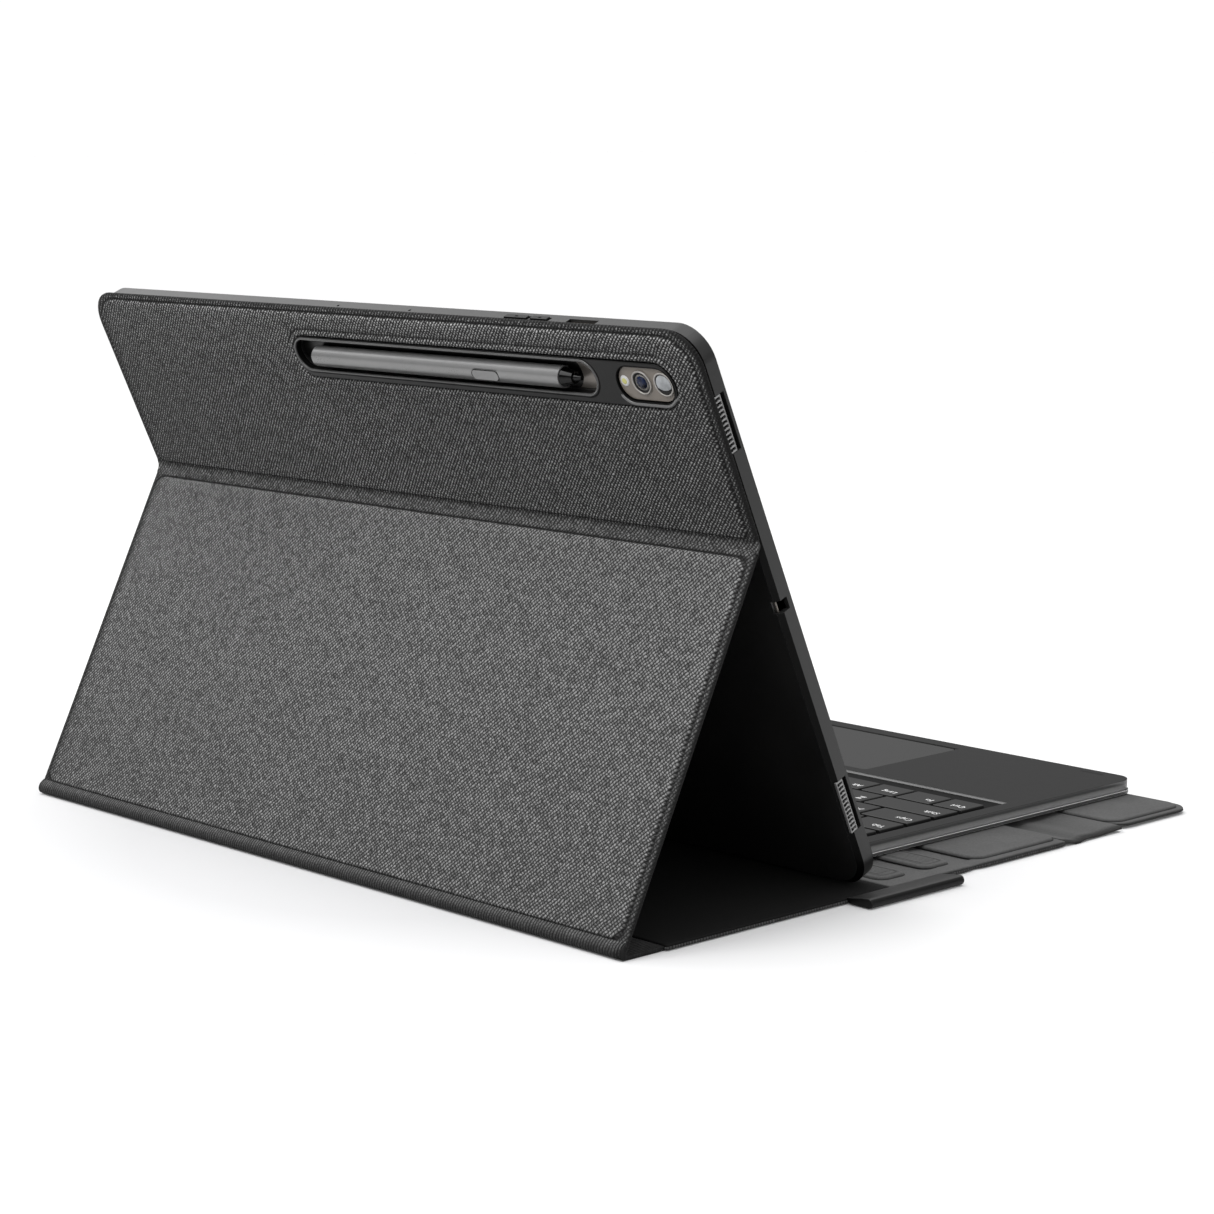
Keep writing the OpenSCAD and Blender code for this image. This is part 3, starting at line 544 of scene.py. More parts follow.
# the seventh column is painted tone: painted highlight on the pad's raised edge, painted shade in
# its groove and round the cover's rim
upper_profile = [
    (7.5, 4, 5.6, -0.96, 9, 2), (5.0, 2.8, 3.6, -0.94, 10.4, 2.4, (1.3, 1.1)),
    (4.15, 1.8, 2.85, -0.8, 11.2, 2.8, (1.5, 1.1)), (3.8, 1.3, 2.5, -0.5, 11.6, 3, (0.9, 0.7)),
    (3.55, 1.1, 2.3, -0.1, 11.9, 3.1, (0.05, 0.3)), (3.2, 0.9, 2.0, 0.1, 12.1, 3.2, (0.0, 0.2)),
    (2.85, 0.75, 1.7, 0.0, 12.3, 2.8, (0.05, 0.35)), (2.5, 0.6, 1.4, -0.12, 12.5, 2.4, 0.7),
    (1.7, 0.4, 1.0, -0.16, 12.7, 2, (0.8, 0.6)), (1.0, 0.3, 0.6, -0.14, 12.9, 1.4, (0.4, 0.1)),
    (0.4, 0.2, 0.3, 0.05, 13, 1, (0.1, 0)), (0, 0, 0, 0.4, 13.2, 1, (0.02, 0.0)),
    (0, 0, 0, 1.05, 13.2, 1, 0), (0.3, 0.2, 0.3, 1.36, 13, 1, 0),
    (0.9, 0.6, 0.9, 1.48, 12.6, 1, 0)]


def upper_share(y):
    """0 below the pen slot's middle and 1 along its upper side."""
    return min(1, max(0, (y - 58) / 6))


def above_slot(deep):
    """A function of y that gives how far the cloth dips above the pen slot, in mm."""
    return lambda y: deep * upper_share(y)


CLOTH_RIM_HIGHLIGHT = 1.2                     # painted highlight on the cloth's rim round the slot
# the last column is painted tone: painted shade in the dip above the slot and down into the hole, a
# stronger painted highlight on the rim below the slot
upper_hole = []
for grow, z, dip, tone in ((4.6, -0.96, 0, 1.0), (3.7, -0.96, 0.05, 1.0), (3.2, -0.96, 0.35, 0.8),
                           (2.8, -0.96, 0.6, 0.1), (2.4, -0.96, 0.35, 0.8),
                           (1.9, -0.97, 0, 1.15), (1.2, -0.96, 0, CLOTH_RIM_HIGHLIGHT), (0.7, -0.85, 0, 1.1),
                           (0.35, -0.55, 0, 0.6), (0.14, -0.1, 0, 0.1), (0.1, 0.6, 0, 0),
                           (0.1, 1.48, 0, 0)):
    loop = bezel_loop(grow)
    shares = [upper_share(y) for _, y in loop]
    tones = [1 + (tone - 1) * share for share in shares] if 0 < dip else tone
    if tone == CLOTH_RIM_HIGHLIGHT:
        tones = [CLOTH_RIM_HIGHLIGHT + 0.9 * (1 - share) for share in shares]
    upper_hole.append((loop, z, above_slot(dip), tones))
skin = panel((-HALF, HALF, UPPER_LOW, UPPER_HIGH), upper_profile, [upper_hole], runs=(48, 12))
# painted light: the upper cloth is painted brighter towards its top
for vert in skin.bm.verts:
    vert[skin.tone] *= 1 + 0.35 * min(1, max(0, (vert.co.y / MM - 50) / 18))
upper_skin = finish_piece("upper_skin", skin.bm, TRAY, UPPER_CLOTH, "tray",
                          ("upper_cover", "upper_pad"))
refine("slot_bezel", "slot_bezel_rim", BEZEL_PLASTIC, TRAY, (0.45, 4))


def stadium_ring(name, bounds, rows, material, body="tray", lower=False):
    """A lip round a stadium, from rows of (distance outside it, w); a lower one sinks into the
    bezel above its middle."""
    x0, x1, y0, y1 = bounds
    shape = Shape()
    loops = [level(stadium(x0 - g, x1 + g, y0 - g, y1 + g), z) for g, z in rows]
    if lower:
        loops = [[(x, y, z + 1.2 * min(1, max(0, (y - y0 - 1.5) / 2))) for x, y, z in loop]
                 for loop in loops]
    shape.loft(loops + loops[:1], first=False, last=False)
    bmesh.ops.remove_doubles(shape.bm, verts=shape.bm.verts, dist=1e-7)
    finish_piece(name, shape.bm, TRAY, material, body)


SLOT = (-116.7, 42, 51.9, 63.5)
WINDOW = (-152.3, -126.5, 50.6, 63.2)
# the lip is painted lighter than the bezel as a painted highlight
stadium_ring("slot_lip", SLOT, [
    (0.02, -0.7), (0.02, -1.15), (0.12, -1.36), (0.35, -1.5), (0.6, -1.52), (0.85, -1.42),
    (1.0, -1.25), (1.04, -1.0), (0.5, -0.8)], SLOT_LIP_HIGHLIGHT)
stadium_ring("slot_lip_shadow", SLOT, [
    (0.98, -1.0), (1.0, -1.125), (1.25, -1.14), (1.5, -1.125), (1.55, -1.0)], SHADE_BLACK)
# the sill is painted light as a painted highlight on the window's lower edge
stadium_ring("window_sill", WINDOW, [
    (0.42, -0.8), (0.42, -1.16), (0.6, -1.4), (0.9, -1.52), (1.2, -1.5), (1.45, -1.36),
    (1.58, -1.15), (1.58, -0.8)], SILL_HIGHLIGHT, lower=True)
stadium_ring("window_shadow", WINDOW, [
    (-0.06, -0.6), (-0.06, -1.15), (0.1, -1.17), (0.3, -1.14), (0.36, -1.0), (0.2, -0.6)],
    SHADE_BLACK)

# ---- cloth that crosses the folds ----

xs = [-HALF + 2 * HALF * i / 80 for i in range(81)]
crease_outer = [section_point(FLAP, -2.9, 0.12), section_point(FLAP, -1.6, 0.06),
                section_point(FLAP, -0.7, -0.05), section_point(TRAY, 0.7, -0.05),
                section_point(TRAY, 1.6, 0.06), section_point(TRAY, 2.3, 0.12)]
crease_inner = [section_point(TRAY, 2.3, 0.7), section_point(TRAY, 1.0, 0.7),
                section_point(TRAY, 0.2, 0.72), section_point(FLAP, -0.2, 0.72),
                section_point(FLAP, -1.0, 0.7), section_point(FLAP, -2.9, 0.7)]
crease = Shape()
# painted shade: the crease is darker where it meets the pads and on its inside
crease.sweep(crease_outer + crease_inner, xs,
             [0.15, 0.7, 0.85, 0.85, 0.5, 0.05] + [0.05] * len(crease_inner))
crease_skin = finish_piece("crease_skin", crease.bm, WORLD, FLAP_CLOTH, None,
                           ("crease_band",))
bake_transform(crease_skin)

spine_outer = [(55.4, 0.02), (60, 0), (66, 0), (71, 0), (73.0, 0.04), (73.9, 0.25), (74.5, 0.7),
               (74.85, 1.3), (75.0, 2.0), (74.95, 2.8), (74.6, 3.6), (74.0, 4.4),
               section_point(FLAP, -133.75, -0.3), section_point(FLAP, -133.45, -0.1),
               section_point(FLAP, -133.4, 0.15)]
# painted shade: the spine cloth is near black along the floor, lighter towards its top, dark where
# it meets the flap and on its inside
spine_painted_shade = [0, 0, 0, 0, 0.01, 0.02, 0.03, 0.05, 0.09, 0.15, 0.24, 0.36, 0.42, 0.1, 0]
spine_inner = [section_point(FLAP, -133.9, 1.2), section_point(FLAP, -136.0, 1.3), (72.6, 1.75),
               (71.6, 1.4), (70, 1.3), (66, 1.35), (60, 1.5), (55.4, 1.5)]
spine = Shape()
spine.sweep(spine_outer + spine_inner, [x * (HALF - 0.3) / HALF for x in xs],
            spine_painted_shade + [0.05] * len(spine_inner))
spine_skin = finish_piece("spine_skin", spine.bm, WORLD, SPINE_CLOTH, None,
                          ("spine_band",))
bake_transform(spine_skin)

# ---- stand base and front cover ----

FRONT = 168


def zone(near, far):
    return FOLD_Y - far, FOLD_Y - near


def cloth_board(bounds, r, thick=2.2, runs=(24, 24)):
    """The outer cloth of a thin board: its underside and its rim."""
    # the last column is painted tone: painted shade on the underside, darker still at the top of
    # the rim under the lining's rolled edge
    return panel(bounds, [
        (12, 12, 12, 0.0, r, r, 0.8), (1.0, 1.0, 1.0, 0.0, r, r, 0.8),
        (0.35, 0.35, 0.35, 0.12, r, r, 0.8), (0, 0, 0, 0.45, r, r, 0.8),
        (0, 0, 0, thick - 1.0, r, r), (0.25, 0.25, 0.25, thick - 0.8, r, r, 0.2),
        (0.9, 0.9, 0.9, thick - 0.7, r, r, 0.2)], runs=runs)


def lining_sheet(bounds, r, thick=2.2, runs=(24, 24)):
    """The lining on top, whose edge rolls over the rim."""
    # the last column is painted shade, darkest where the lining's edge rolls over the rim
    return panel(bounds, [
        (0.9, 0.9, 0.9, thick - 0.9, r, r, 0.1), (0.15, 0.15, 0.15, thick - 0.85, r, r, 0.3),
        (0.05, 0.05, 0.05, thick - 0.5, r, r, 0.6), (0.25, 0.25, 0.25, thick - 0.18, r, r, 0.9),
        (0.8, 0.8, 0.8, thick, r, r), (6, 6, 6, thick, r, r)], runs=runs)


VALLEYS = (147.5, 171, 224)        # the sewn lines between the pads, in front of the fold
RIBS, RIB_STEPS = 5, 6


def scallop(bm, z_from=0.3):
    """The cover's edges dip and draw in where its cloth is sewn down between the pads."""
    for vert in bm.verts:
        x, y, z = vert.co / MM
        distance = FOLD_Y - y
        dip = sum(math.exp(-((distance - v) / 3.2) ** 2) for v in VALLEYS)
        near = max(0.0, min(1.0, (abs(x) - 150) / 14))
        near = near * near * (3 - 2 * near)
        vert.co.x -= math.copysign(0.9 * dip * near, x) * MM
        if z > z_from:
            vert.co.z -= 0.55 * dip * near * (z - z_from) / 2 * MM


STAND_END = 126                    # the dark lining ends here, in front of the fold
base_y = zone(19, 223)
board = cloth_board((-FRONT, FRONT, *base_y), 1.0, runs=(48, 120))
scallop(board.bm)
finish_piece("base_skin", board.bm, WORLD, COVER_CLOTH, "base", ("base_cover",))
top = lining_sheet((-FRONT, FRONT, base_y[0], FOLD_Y - STAND_END), 0.8, runs=(48, 80))
scallop(top.bm)
finish_piece("base_top_cloth", top.bm, WORLD, LINING, "base", ("base_lining",))
inner = lining_sheet((-FRONT, FRONT, FOLD_Y - STAND_END, base_y[1]), 0.8, runs=(48, 40))
finish_piece("base_inner_cloth", inner.bm, WORLD, DARK_LINING, "base",
             ("base_lining",))


def raised_pad(bounds, r, bottom=2.2, rise=1.0, border=2.6, recess=0.2):
    """A soft raised panel with a pressed line inside its edge."""
    top_z = bottom + rise

    def row(inset, z, tone=1.0):
        return inset, inset, inset, z, max(0.4, r - inset * 0.8), max(0.4, r - inset * 0.8), tone

    # the tones are painted shade at the pad's foot and in the pressed line, and a painted highlight
    # along its upper edge
    rows = [
        row(0.5, bottom - 0.1, 0), row(-0.4, bottom - 0.02, 0.0), row(-0.1, bottom + 0.1, 0.05),
        row(0.05, top_z - 0.75, 0.5), row(0.25, top_z - 0.42), row(0.6, top_z - 0.18, 1.15),
        row(1.1, top_z - 0.04, 1.15), row(1.7, top_z)]
    if recess:
        rows += [row(border, top_z), row(border + 0.35, top_z - recess, 0.45),
                 row(border + 0.7, top_z - recess, 0.45), row(border + 1.1, top_z - 0.02)]
    return panel(bounds, rows + [row(border + 2.2, top_z)], runs=(24, 4))


for k, (near, far) in enumerate(((129, 143), (152, 166))):
    strip = raised_pad((-161, 161, *zone(near, far)), 4, border=1.9, recess=0.25)
    ribs = []
    y0, y1 = zone(near, far)
    for i in range(RIBS * RIB_STEPS + 1):
        y = y0 + 3.4 + (y1 - y0 - 6.8) * i / (RIBS * RIB_STEPS)
        ribs.append((y, 3.22 + 0.16 * abs(math.sin(math.pi * i / RIB_STEPS))))
    strip.sweep([(ribs[0][0], 3.0)] + ribs + [(ribs[-1][0], 3.0)], [-156, 0, 156])
    finish_piece(f"stand_strip_{k}", strip.bm, WORLD, LINING, "base",
                 ("stand_strips",))

pad = raised_pad((-164.5, 164.5, *zone(175, 222)), 6, recess=0)
front_pad = finish_piece("front_pad_cloth", pad.bm, WORLD, LINING, "base",
                         ("front_pad",))

# The soft valley between the front pad and the closing flap
WAVE_START, WAVE_END, WAVE_STEPS = 222.2, 255.6, 48
wave_top, wave_bottom, wave_painted_shade = [], [], []
for i in range(WAVE_STEPS + 1):
    k = i / WAVE_STEPS
    distance = WAVE_START + (WAVE_END - WAVE_START) * k
    dip = math.exp(-((distance - 229) / 3.6) ** 2) + 0.55 * math.exp(-((distance - 241) / 7) ** 2)
    y = FOLD_Y - distance
    wave_top.append((y, max(0.95, 2.15 - 1.2 * dip)))
    wave_bottom.append((y, max(0.0, 0.85 - 0.95 * dip)))
    # painted shade: darker in the valley
    wave_painted_shade.append(1.0 - 0.25 * min(1, dip))
wave = Shape()
# the wave's underside takes painted shade
wave.sweep(wave_top + wave_bottom[::-1], [x * (FRONT - 0.6) / HALF for x in xs],
           wave_painted_shade + [0.1] * len(wave_bottom))
for vert in wave.bm.verts:
    x, y, z = vert.co / MM
    bulge = math.exp(-((FOLD_Y - y - 229) / 3.5) ** 2)
    near = max(0.0, (abs(x) - 150) / 18) ** 2
    vert.co.x += math.copysign(0.8 * bulge * min(1, near), x) * MM
wave_skin = finish_piece("wave_skin", wave.bm, WORLD, LINING, None,
                         ("wave_hinge",))
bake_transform(wave_skin)

# ---- closing flap ----

closing = (-FRONT + 2, FRONT - 2, *zone(255.3, 301))
board = cloth_board(closing, 8)
for vert in board.bm.verts:
    x, y, z = vert.co / MM
    edge = max((abs(x) - closing[1] + 5) / 5, (closing[2] + 5 - y) / 5)
    if z < 0.6 and edge > 0:
        vert.co.z += 0.75 * min(1, edge) * MM
finish_piece("closing_skin", board.bm, WORLD, COVER_CLOTH, "closing_flap",
             ("closing_cover",))
top = lining_sheet(closing, 8)
finish_piece("closing_top_cloth", top.bm, WORLD, LINING, "closing_flap",
             ("closing_lining",))
pad = raised_pad((closing[0] + 2.6, closing[1] - 2.6, closing[2] + 2.6, closing[3] - 0.6), 6.5,
                 recess=0)
closing_pad = finish_piece("closing_pad_cloth", pad.bm, WORLD, LINING, "closing_flap",
                           ("closing_pad",))

# ---- closure tab ----


def strap_section(shrink):
    """The strap, folded back under itself: points (x, z) and their painted tones, a painted
    highlight along the top of the fold and painted shade towards its underside.
    """
    r = 1.75 - shrink
    tip = (-9.2, 1.75)
    rows = [(0.6, 2.0, 0.7), (-1.2, 2.2, 0.8), (-3.5, 2.6, 0.8), (-6.5, 3.1, 0.85),
            (-8.2, 3.4 - shrink, 0.9)]
    for a in range(90, 271, 12):
        tone = 2.6 if a == 114 else max(0.0, 0.9 - (a - 90) / 45) if a > 114 else 1.0
        rows.append((tip[0] + r * math.cos(math.radians(a)), tip[1] + r * math.sin(math.radians(a)),
                     tone))
    rows += [(-6, 0.0 + shrink, 0), (-3, 0.02 + shrink, 0), (-1, 0.15 + shrink, 0),
             (0.2, 0.7, 0), (0.6, 1.2, 0.1)]
    return rows


tab_y = zone(104, 152)
strap = Shape()
loops, strap_painted_light = [], []
for y, shrink in ((tab_y[0], 0.3), (tab_y[0] + 0.25, 0.08), (tab_y[0] + 0.8, 0), (tab_y[0] + 8, 0),
                  (tab_y[0] + 24, 0), (tab_y[1] - 8, 0), (tab_y[1] - 0.8, 0),
                  (tab_y[1] - 0.25, 0.08), (tab_y[1], 0.3)):
    section = strap_section(shrink)
    loops.append([(-FRONT + x, y, z) for x, z, _ in section])
    # painted shade on the strap's end caps, a painted highlight just inside them
    dark = 0.0 if shrink > 0.2 else 1.8 if shrink else 1.0
    strap_painted_light.append([tone * dark for _, _, tone in section])
strap.loft(loops, tones=strap_painted_light)
closure = finish_piece("closure_strap", strap.bm, WORLD, STRAP, None,
                       ("closure_tab",))
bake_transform(closure)

# ---- tray ----


def tray_paint(_, normal):
    """Painted shade: black on the slope towards the cloth, and darker side walls."""
    if -0.95 < normal.z < -0.2:
        return 1
    return 2 if abs(normal.x) > 0.6 or normal.y < -0.3 else 0


# the bevels take the painted highlight
refine("tray_shell", "tray_body", TRAY_PLASTIC, TRAY, (0.5, 3),
       paint=tray_paint, others=(SHADE_BLACK, TRAY_SIDE_SHADE, TRAY_EDGE_HIGHLIGHT), bevelled=3)

COMB_LOW = (32, -113)              # each speaker opening's lower end
COMB_LONG, TEETH, TOOTH_PITCH = 20.5, 13, 1.62
SIDE_X = 165.36
comb, slots = Shape(), Shape()
for side in (-1, 1):
    for low in COMB_LOW:
        x0, x1 = sorted((side * SIDE_X, side * 164.3))
        for k in range(TEETH):
            v = low + COMB_LONG / 2 + (k - TEETH // 2) * TOOTH_PITCH
            tooth = [(v - 0.3, 2.1), (v + 0.3, 2.1), (v + 0.3, 5.1), (v - 0.3, 5.1)]
            comb.sweep(tooth, (x0, x1))
        for w0, w1 in ((2.0, 2.35), (4.8, 5.2)):
            comb.sweep([(low + 0.2, w0), (low + 20.3, w0), (low + 20.3, w1), (low + 0.2, w1)],
                       (x0, x1))
        slots.sweep([(low + 0.25, 2.1), (low + 20.25, 2.1), (low + 20.25, 3.3), (low + 0.25, 3.3)],
                    sorted((side * (SIDE_X - 0.04), side * 164.9)))
finish_piece("tray_speaker_combs", comb.bm, TRAY, COMB_HIGHLIGHT, "tray",
             bevel=(0.12, 2))
# painted shade: black behind the combs
finish_piece("tray_speaker_slots", slots.bm, TRAY, SHADE_BLACK, "tray")
refine("tray_lining", "tray_lining_cloth", DARK_LINING, TRAY, (0.05, 1))
refine("volume_cover", "volume_key", BUTTON_PLASTIC, TRAY, (0.35, 3))
refine("power_cover", "power_key", BUTTON_PLASTIC, TRAY, (0.35, 3))

# ---- tablet ----

TABLET_BACK = 2.62                 # the tablet's back, as a w of the tray

refine("tablet_housing", "tablet_body", GRAPHITE, TRAY, (0.5, 3))
# painted shade: a black sheet on the tablet's back behind the pen slot
shade_sheet = Shape()
shade_sheet.loft([level(stadium(-106.5 + g, 42.5 - g, 51 + g, 64 - g), TABLET_BACK + z)
           for g, z in ((0, 0.05), (0, -0.03), (0.08, -0.05))])
finish_piece("painted_slot_shade_sheet", shade_sheet.bm, TRAY, SLOT_SHADE, "tablet")
refine("tablet_screen", "tablet_glass", SCREEN, TRAY, (0.35, 3))
refine("speaker_grilles", "speaker_bars", GRILLE, TRAY, (0.12, 2))
refine("camera_plate", "camera_plate_face", TAUPE, TRAY, (0.2, 2))


LENSES, FLASH_X = (-137.5, -147.6), -129.4
LENS_V = 57.4
PLATE_W = -0.9                     # where the rows of (radius, w) below count w from


def lathe(shape, centre, profile, n=40):
    """Rings about an axis along w, from rows of (radius, w)."""
    cx, cy = centre
    loops = []
    for radius, w in profile:
        loops.append([(cx + radius * math.cos(2 * math.pi * i / n),
                       cy + radius * math.sin(2 * math.pi * i / n), w + PLATE_W)
                      for i in range(n)])
    shape.loft(loops)
    return shape


rings = Shape()
for x in LENSES:
    lathe(rings, (x, LENS_V), [(3.65, 0.4), (3.65, 0.1), (3.75, 0.0), (3.95, -0.05), (4.15, 0.0),
                               (4.3, 0.15), (4.3, 0.6), (4.2, 0.7), (3.7, 0.7), (3.65, 0.4)])
finish_piece("camera_rims", rings.bm, TRAY, RING, "tablet", ("camera_rings",))
barrels = Shape()
for x in LENSES:
    lathe(barrels, (x, LENS_V), [(3.66, 2.4), (3.66, 0.22), (3.4, 0.2), (3.0, 0.3), (2.6, 0.55),
                                 (2.3, 1.0), (2.2, 1.6)])
finish_piece("lens_barrels", barrels.bm, TRAY, BARREL_BLACK, "tablet",
             ("camera_lenses",))
for name, x, glass, radius in (("lens_glass_a", LENSES[0], LENS_GLASS, 2.25),
                               ("lens_glass_b", LENSES[1], PALE_GLASS, 3.5)):
    dome = lathe(Shape(), (x, LENS_V), [(0.5, 0.02), (1.2, 0.05), (1.9, 0.1), (radius - 0.4, 0.17),
                                        (radius, 0.3), (radius, 0.8)])
    finish_piece(name, dome.bm, TRAY, glass, "tablet")
pupil = lathe(Shape(), (LENSES[0] + 0.1, LENS_V - 0.3), [(0.3, -0.02), (0.7, -0.01), (0.95, 0.06),
                                                         (0.95, 0.3)], 20)
finish_piece("lens_pupil", pupil.bm, TRAY, DEEP_GLASS, "tablet")
crescent = Shape()
outer = [(LENSES[1] + 3.45 * math.cos(math.radians(a)), LENS_V + 3.45 * math.sin(math.radians(a)))
         for a in range(205, 336, 10)]
inner = [(LENSES[1] + 3.2 * math.cos(math.radians(a)),
          LENS_V - 0.5 + 1.6 * math.sin(math.radians(a))) for a in range(325, 214, -10)]
crescent.loft([level(outer + inner, PLATE_W + z) for z in (0.4, 0.02, 0.0)])
finish_piece("lens_shade", crescent.bm, TRAY, BARREL_BLACK, "tablet")
flash = lathe(Shape(), (FLASH_X, LENS_V), [(0.9, 0.42), (1.5, 0.44), (1.85, 0.5), (1.98, 0.62),
                                            (1.98, 1.15)])
finish_piece("flash_window", flash.bm, TRAY, FLASH, "tablet", ("flash_lens",))
core = lathe(Shape(), (FLASH_X, LENS_V), [(0.5, 0.385), (0.95, 0.4), (1.1, 0.43), (1.1, 0.5)], 20)
finish_piece("flash_core", core.bm, TRAY, FLASH_CORE, "tablet")

# ---- pen ----

refine("pen_barrel", "pen_body", PEN, TRAY, (0.6, 4))
refine("pen_tip", "pen_point", PEN_TIP, TRAY, (0.5, 4))
# its bevel takes the black tip plastic: a painted shade outline round the button
refine("pen_button", "pen_side_button", PEN, TRAY, (0.3, 3),
       others=(PEN_TIP,), bevelled=1)

# ---- keyboard ----

WELL_FRONT = FOLD_Y - 231.5


def lip_edge(middle):
    """Only the upper outer edge of the lip is wide."""
    return 1.0 if middle.z > 5 and (abs(middle.x) > 138.9 or not -225 < middle.y < -56) else 0.5


# the lip's bevels take the painted highlight
refine("keyboard_base", "keyboard_under", KEYBOARD_BASE, WORLD,
       (0.4, 3), lip_edge, others=(EDGE_HIGHLIGHT,), bevelled=1)


def deck_edge(middle):
    """Wide rounding on the deck's rim, less round the keys' well, none round the keys."""
    x, y, z = middle
    if z < 9:
        return 0.0
    if abs(x) > 138 or y < -223 or y > -57:
        return 1.0
    return 0.55 if abs(abs(x) - 133) < 0.1 or abs(y - WELL_FRONT) < 0.1 else 0.0


def deck_paint(middle, normal):
    """Painted highlight on the outer walls and the front wall of the keys' well, painted shade
    between the keys.
    """
    x, y, z = middle
    if abs(normal.z) < 0.5:
        outside = abs(x) > 135.5 or y < -222 or y > -59
        if outside:
            return 1
        return 3 if abs(y - WELL_FRONT) < 0.4 and normal.y > 0.5 else 0
    return 2 if abs(x) < 133.2 and y > WELL_FRONT - 0.2 and 7 < z < 8.3 else 0


# the deck's rim is bevelled in black as painted shade
refine("keyboard_top", "keyboard_deck", KEYBOARD, WORLD, (0.9, 4), deck_edge,
       deck_paint, (SIDE_HIGHLIGHT, SHADE_BLACK, WELL_WALL_HIGHLIGHT), 2)
# painted shade: a thin black bar in the gap in front of the touchpad
line = Shape()
line.loft([level(rounded(-56.6, 56.6, -218.5, -217.2, (0.5,) * 4, 4, (4, 1)), z)
           for z in (9.0, 9.12)])
finish_piece("touchpad_front_gap", line.bm, WORLD, SHADE_BLACK, "keyboard")
refine("touchpad", "touchpad_glass_plate", TOUCHPAD, WORLD, (0.15, 2))
refine("power_switch", "power_slider", BUTTON_PLASTIC, WORLD, (0.15, 2))
refine("charge_port", "charge_socket", PORT, WORLD, (0.1, 2))
refine("keyboard_feet", "keyboard_foot_pads", RUBBER, WORLD, (0.12, 2))
lamp = Shape()
lamp.loft([level(stadium(-127.6 + g, -116.6 - g, -221.7 + g, -220.3 - g), z)
           for g, z in ((0.1, 7.4), (0.1, 9.0), (0, 9.08), (0.06, 9.12), (0.2, 9.13))])
finish_piece("indicator_window", lamp.bm, WORLD, LAMP, "keyboard",
             ("indicator_lens",))

KEY_ROWS = {
    "ctrl_keys": ([0.9, 1.05, 1, 1.05, 5, 1, 1, 1, 1, 1, 1],
                  ["Ctrl", "Fn", "Lang", "Alt", "", "Alt", "Ctrl", "Menu", "<", "v", ">"]),
    "shift_keys": ([2.1] + [1] * 10 + [1.9, 1],
                   ["Shift", *"ZXCVBNM,./", "Shift", "^"]),
    "caps_keys": ([1.4] + [1] * 11 + [2.6], ["Caps", *"ASDFGHJKL;'", "Enter"]),
    "tab_keys": ([1.1] + [1] * 12 + [1.9], ["Tab", *"QWERTYUIOP[]", "\\"]),
    "number_keys": ([0.8] + [1] * 12 + [2.2], ["`", *"1234567890-=", "Back"]),
    "function_keys": ([1] * 15, ["Esc"] + [f"F{i}" for i in range(1, 13)] + ["Prt", "Del"]),
}
KEY_UNIT, ROW_PITCH, KEY_GAP, KEY_TOP = 17.4, 15, 1.7, 9.3
KEY_Y = FOLD_Y - 221.5 - KEY_GAP / 2


def add_text(bm, text, size, x, y, z, align):
    """Flat lettering, its back just below a keycap's top."""
    curve = bpy.data.curves.new("text", "FONT")
    curve.body = text
    curve.size = size * MM
    curve.align_x = align
    curve.align_y = "CENTER"
    curve.extrude = 0.03 * MM
    curve.resolution_u = 2
    holder = bpy.data.objects.new("text", curve)
    scene.collection.objects.link(holder)
    mesh = bpy.data.meshes.new_from_object(
        holder.evaluated_get(bpy.context.evaluated_depsgraph_get()))
    mesh.transform(Matrix.Translation(Vector((x, y, z)) * MM))
    bm.from_mesh(mesh)
    bpy.data.meshes.remove(mesh)
    bpy.data.objects.remove(holder)
    bpy.data.curves.remove(curve)


for row, (node, (widths, legends)) in enumerate(KEY_ROWS.items()):
    refine(node, f"{node}_caps", KEYCAP, WORLD, (0.45, 3))
    lettering = bmesh.new()
    at = -15 * KEY_UNIT / 2
    for width, legend in zip(widths, legends):
        if legend:
            long = len(legend) > 1
            add_text(lettering, legend, 3.9 if long else 5.2, at + 2.6,
                     KEY_Y + row * ROW_PITCH + (6.5 if row == 5 else 9.6), KEY_TOP + 0.0, "LEFT")
        at += KEY_UNIT * width
    finish_piece(f"{node}_legends", lettering, WORLD, LEGEND, frame["nodes"][node]["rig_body"],
                 flat=True)
refine("space_bar", "space_bar_cap", KEYCAP, WORLD, (0.45, 3))

# ---- what stays as the CAD has it ----

for nodes, material, slot in (
        (("base_board", "front_board", "closing_board", "flap_board", "upper_board"), BOARD,
         "board"),
        (("base_magnets", "closing_magnets", "tab_magnet", "flap_magnets", "keyboard_magnets"),
         MAGNET, "magnet"),
        (("tablet_battery", "keyboard_battery"), FOIL, "battery_foil"),
        (("circuit_board", "touchpad_board"), GREEN_BOARD, "board_green"),
        (("switch_sheet",), SILICONE, "switch_rubber")):
    for node in nodes:
        keep(node, material)

# ---- stage, light and camera ----

FLOOR_Z = -0.0002
BOUNCE = 0.14                      # what the floor gives back to the case's underside
floor_mesh = bpy.data.meshes.new("floor")
edge = 30
floor_mesh.from_pydata([(-edge, -edge, FLOOR_Z), (edge, -edge, FLOOR_Z), (edge, edge, FLOOR_Z),
                        (-edge, edge, FLOOR_Z)], [], [(0, 1, 2, 3)])
floor = bpy.data.objects.new("floor", floor_mesh)
scene.collection.objects.link(floor)
paper = Finish("paper", Roughness=0.9, Specular_IOR_Level=0.0)
paper.shader.inputs["Emission Color"].default_value = (1, 1, 1, 1)
paper.shader.inputs["Emission Strength"].default_value = 0.06
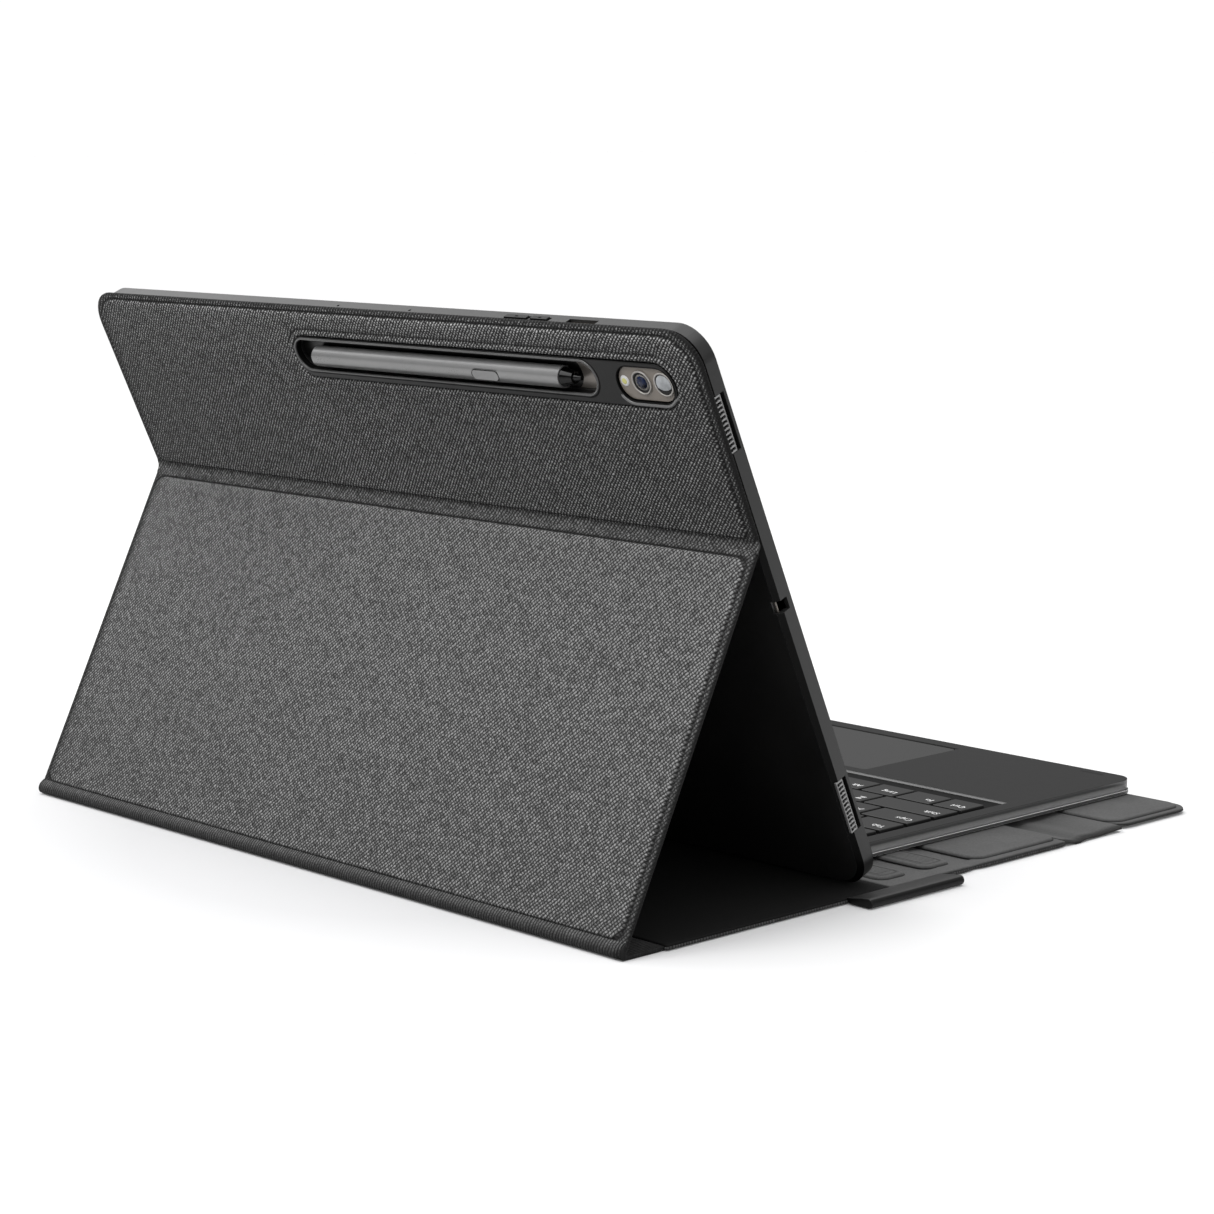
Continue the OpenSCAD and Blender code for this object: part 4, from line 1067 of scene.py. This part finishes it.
# painted shadow: the floor is painted darker near the case, out to about 0.34 m from the origin
at = paper.coordinates(False)
reach = paper.node("ShaderNodeVectorMath", {0: at}, operation="LENGTH").outputs["Value"]
share = paper.math("ADD", paper.ramp(reach, 0.12, 0.34),
                   paper.math("MULTIPLY", paper.noise(at, 3.0, 2), 0.04))
floor_painted_shadow = paper.colour(share, (0.56, 0.56, 0.567), (0.84, 0.84, 0.84))
diffuse = paper.node("ShaderNodeLightPath").outputs["Is Diffuse Ray"]
floor_mesh.materials.append(paper.use(paper.colour(diffuse, floor_painted_shadow, (BOUNCE,) * 3)))

SKY_LOW, SKY_HIGH, BACKDROP = 0.08, 1.15, 1.05
world = bpy.data.worlds.new("studio")
scene.world = world
world.use_nodes = True
tree = world.node_tree
tree.nodes.clear()
sky = tree.nodes.new("ShaderNodeBackground")
sky.inputs["Color"].default_value = (1, 1, 1, 1)
direction = tree.nodes.new("ShaderNodeTexCoord")
parts = tree.nodes.new("ShaderNodeSeparateXYZ")
rise = tree.nodes.new("ShaderNodeMapRange")
rise.inputs["From Min"].default_value = 0.0
rise.inputs["From Max"].default_value = 1.0
rise.inputs["To Min"].default_value = SKY_LOW
rise.inputs["To Max"].default_value = SKY_HIGH
tree.links.new(direction.outputs["Generated"], parts.inputs[0])
tree.links.new(parts.outputs[2], rise.inputs["Value"])
tree.links.new(rise.outputs[0], sky.inputs["Strength"])
seen = tree.nodes.new("ShaderNodeBackground")
seen.inputs["Color"].default_value = (1, 1, 1, 1)
seen.inputs["Strength"].default_value = BACKDROP
path = tree.nodes.new("ShaderNodeLightPath")
mix = tree.nodes.new("ShaderNodeMixShader")
out = tree.nodes.new("ShaderNodeOutputWorld")
tree.links.new(path.outputs["Is Camera Ray"], mix.inputs[0])
tree.links.new(sky.outputs[0], mix.inputs[1])
tree.links.new(seen.outputs[0], mix.inputs[2])
tree.links.new(mix.outputs[0], out.inputs[0])

sun = bpy.data.lights.new("overhead", "SUN")
sun.energy = 1.1
sun.angle = math.radians(70)
overhead = bpy.data.objects.new("overhead", sun)
overhead.rotation_euler = (math.radians(-12), math.radians(-8), 0)
scene.collection.objects.link(overhead)

for name, place, target, size, power in (
        ("softbox_right", (0.95, 0.05, 0.95), (0, 0, 0.12), 1.0, 5.0),
        ("softbox_front", (-0.05, 0.33, 0.46), (0, 0.02, 0.13), 0.35, 1.4),
        ("softbox_left", (-1.1, -0.1, 0.35), (-0.15, -0.12, 0.02), 0.5, 1.6)):
    lamp = bpy.data.lights.new(name, "AREA")
    lamp.energy = power
    lamp.size = size
    box = bpy.data.objects.new(name, lamp)
    aim = Vector(target) - Vector(place)
    box.matrix_world = Matrix.Translation(place) @ aim.to_track_quat("-Z", "Y").to_matrix().to_4x4()
    scene.collection.objects.link(box)

CAMERA_AT = (-0.822, 0.6943, 0.2565)
CAMERA_TURN = (133.137, -9.065, -0.15)     # yaw from +Y towards +X, pitch and roll, in degrees
yaw, pitch, roll = (math.radians(angle) for angle in CAMERA_TURN)
forward = Vector((math.cos(pitch) * math.sin(yaw), math.cos(pitch) * math.cos(yaw),
                  math.sin(pitch)))
lens = bpy.data.cameras.new("view")
lens.lens = 88.13
lens.sensor_width = 36
lens.clip_start = 0.05
lens.clip_end = 100
camera = bpy.data.objects.new("view", lens)
scene.collection.objects.link(camera)
camera.matrix_world = (Matrix.Translation(CAMERA_AT)
                       @ forward.to_track_quat("-Z", "Y").to_matrix().to_4x4()
                       @ Matrix.Rotation(roll, 4, "Z"))
scene.camera = camera
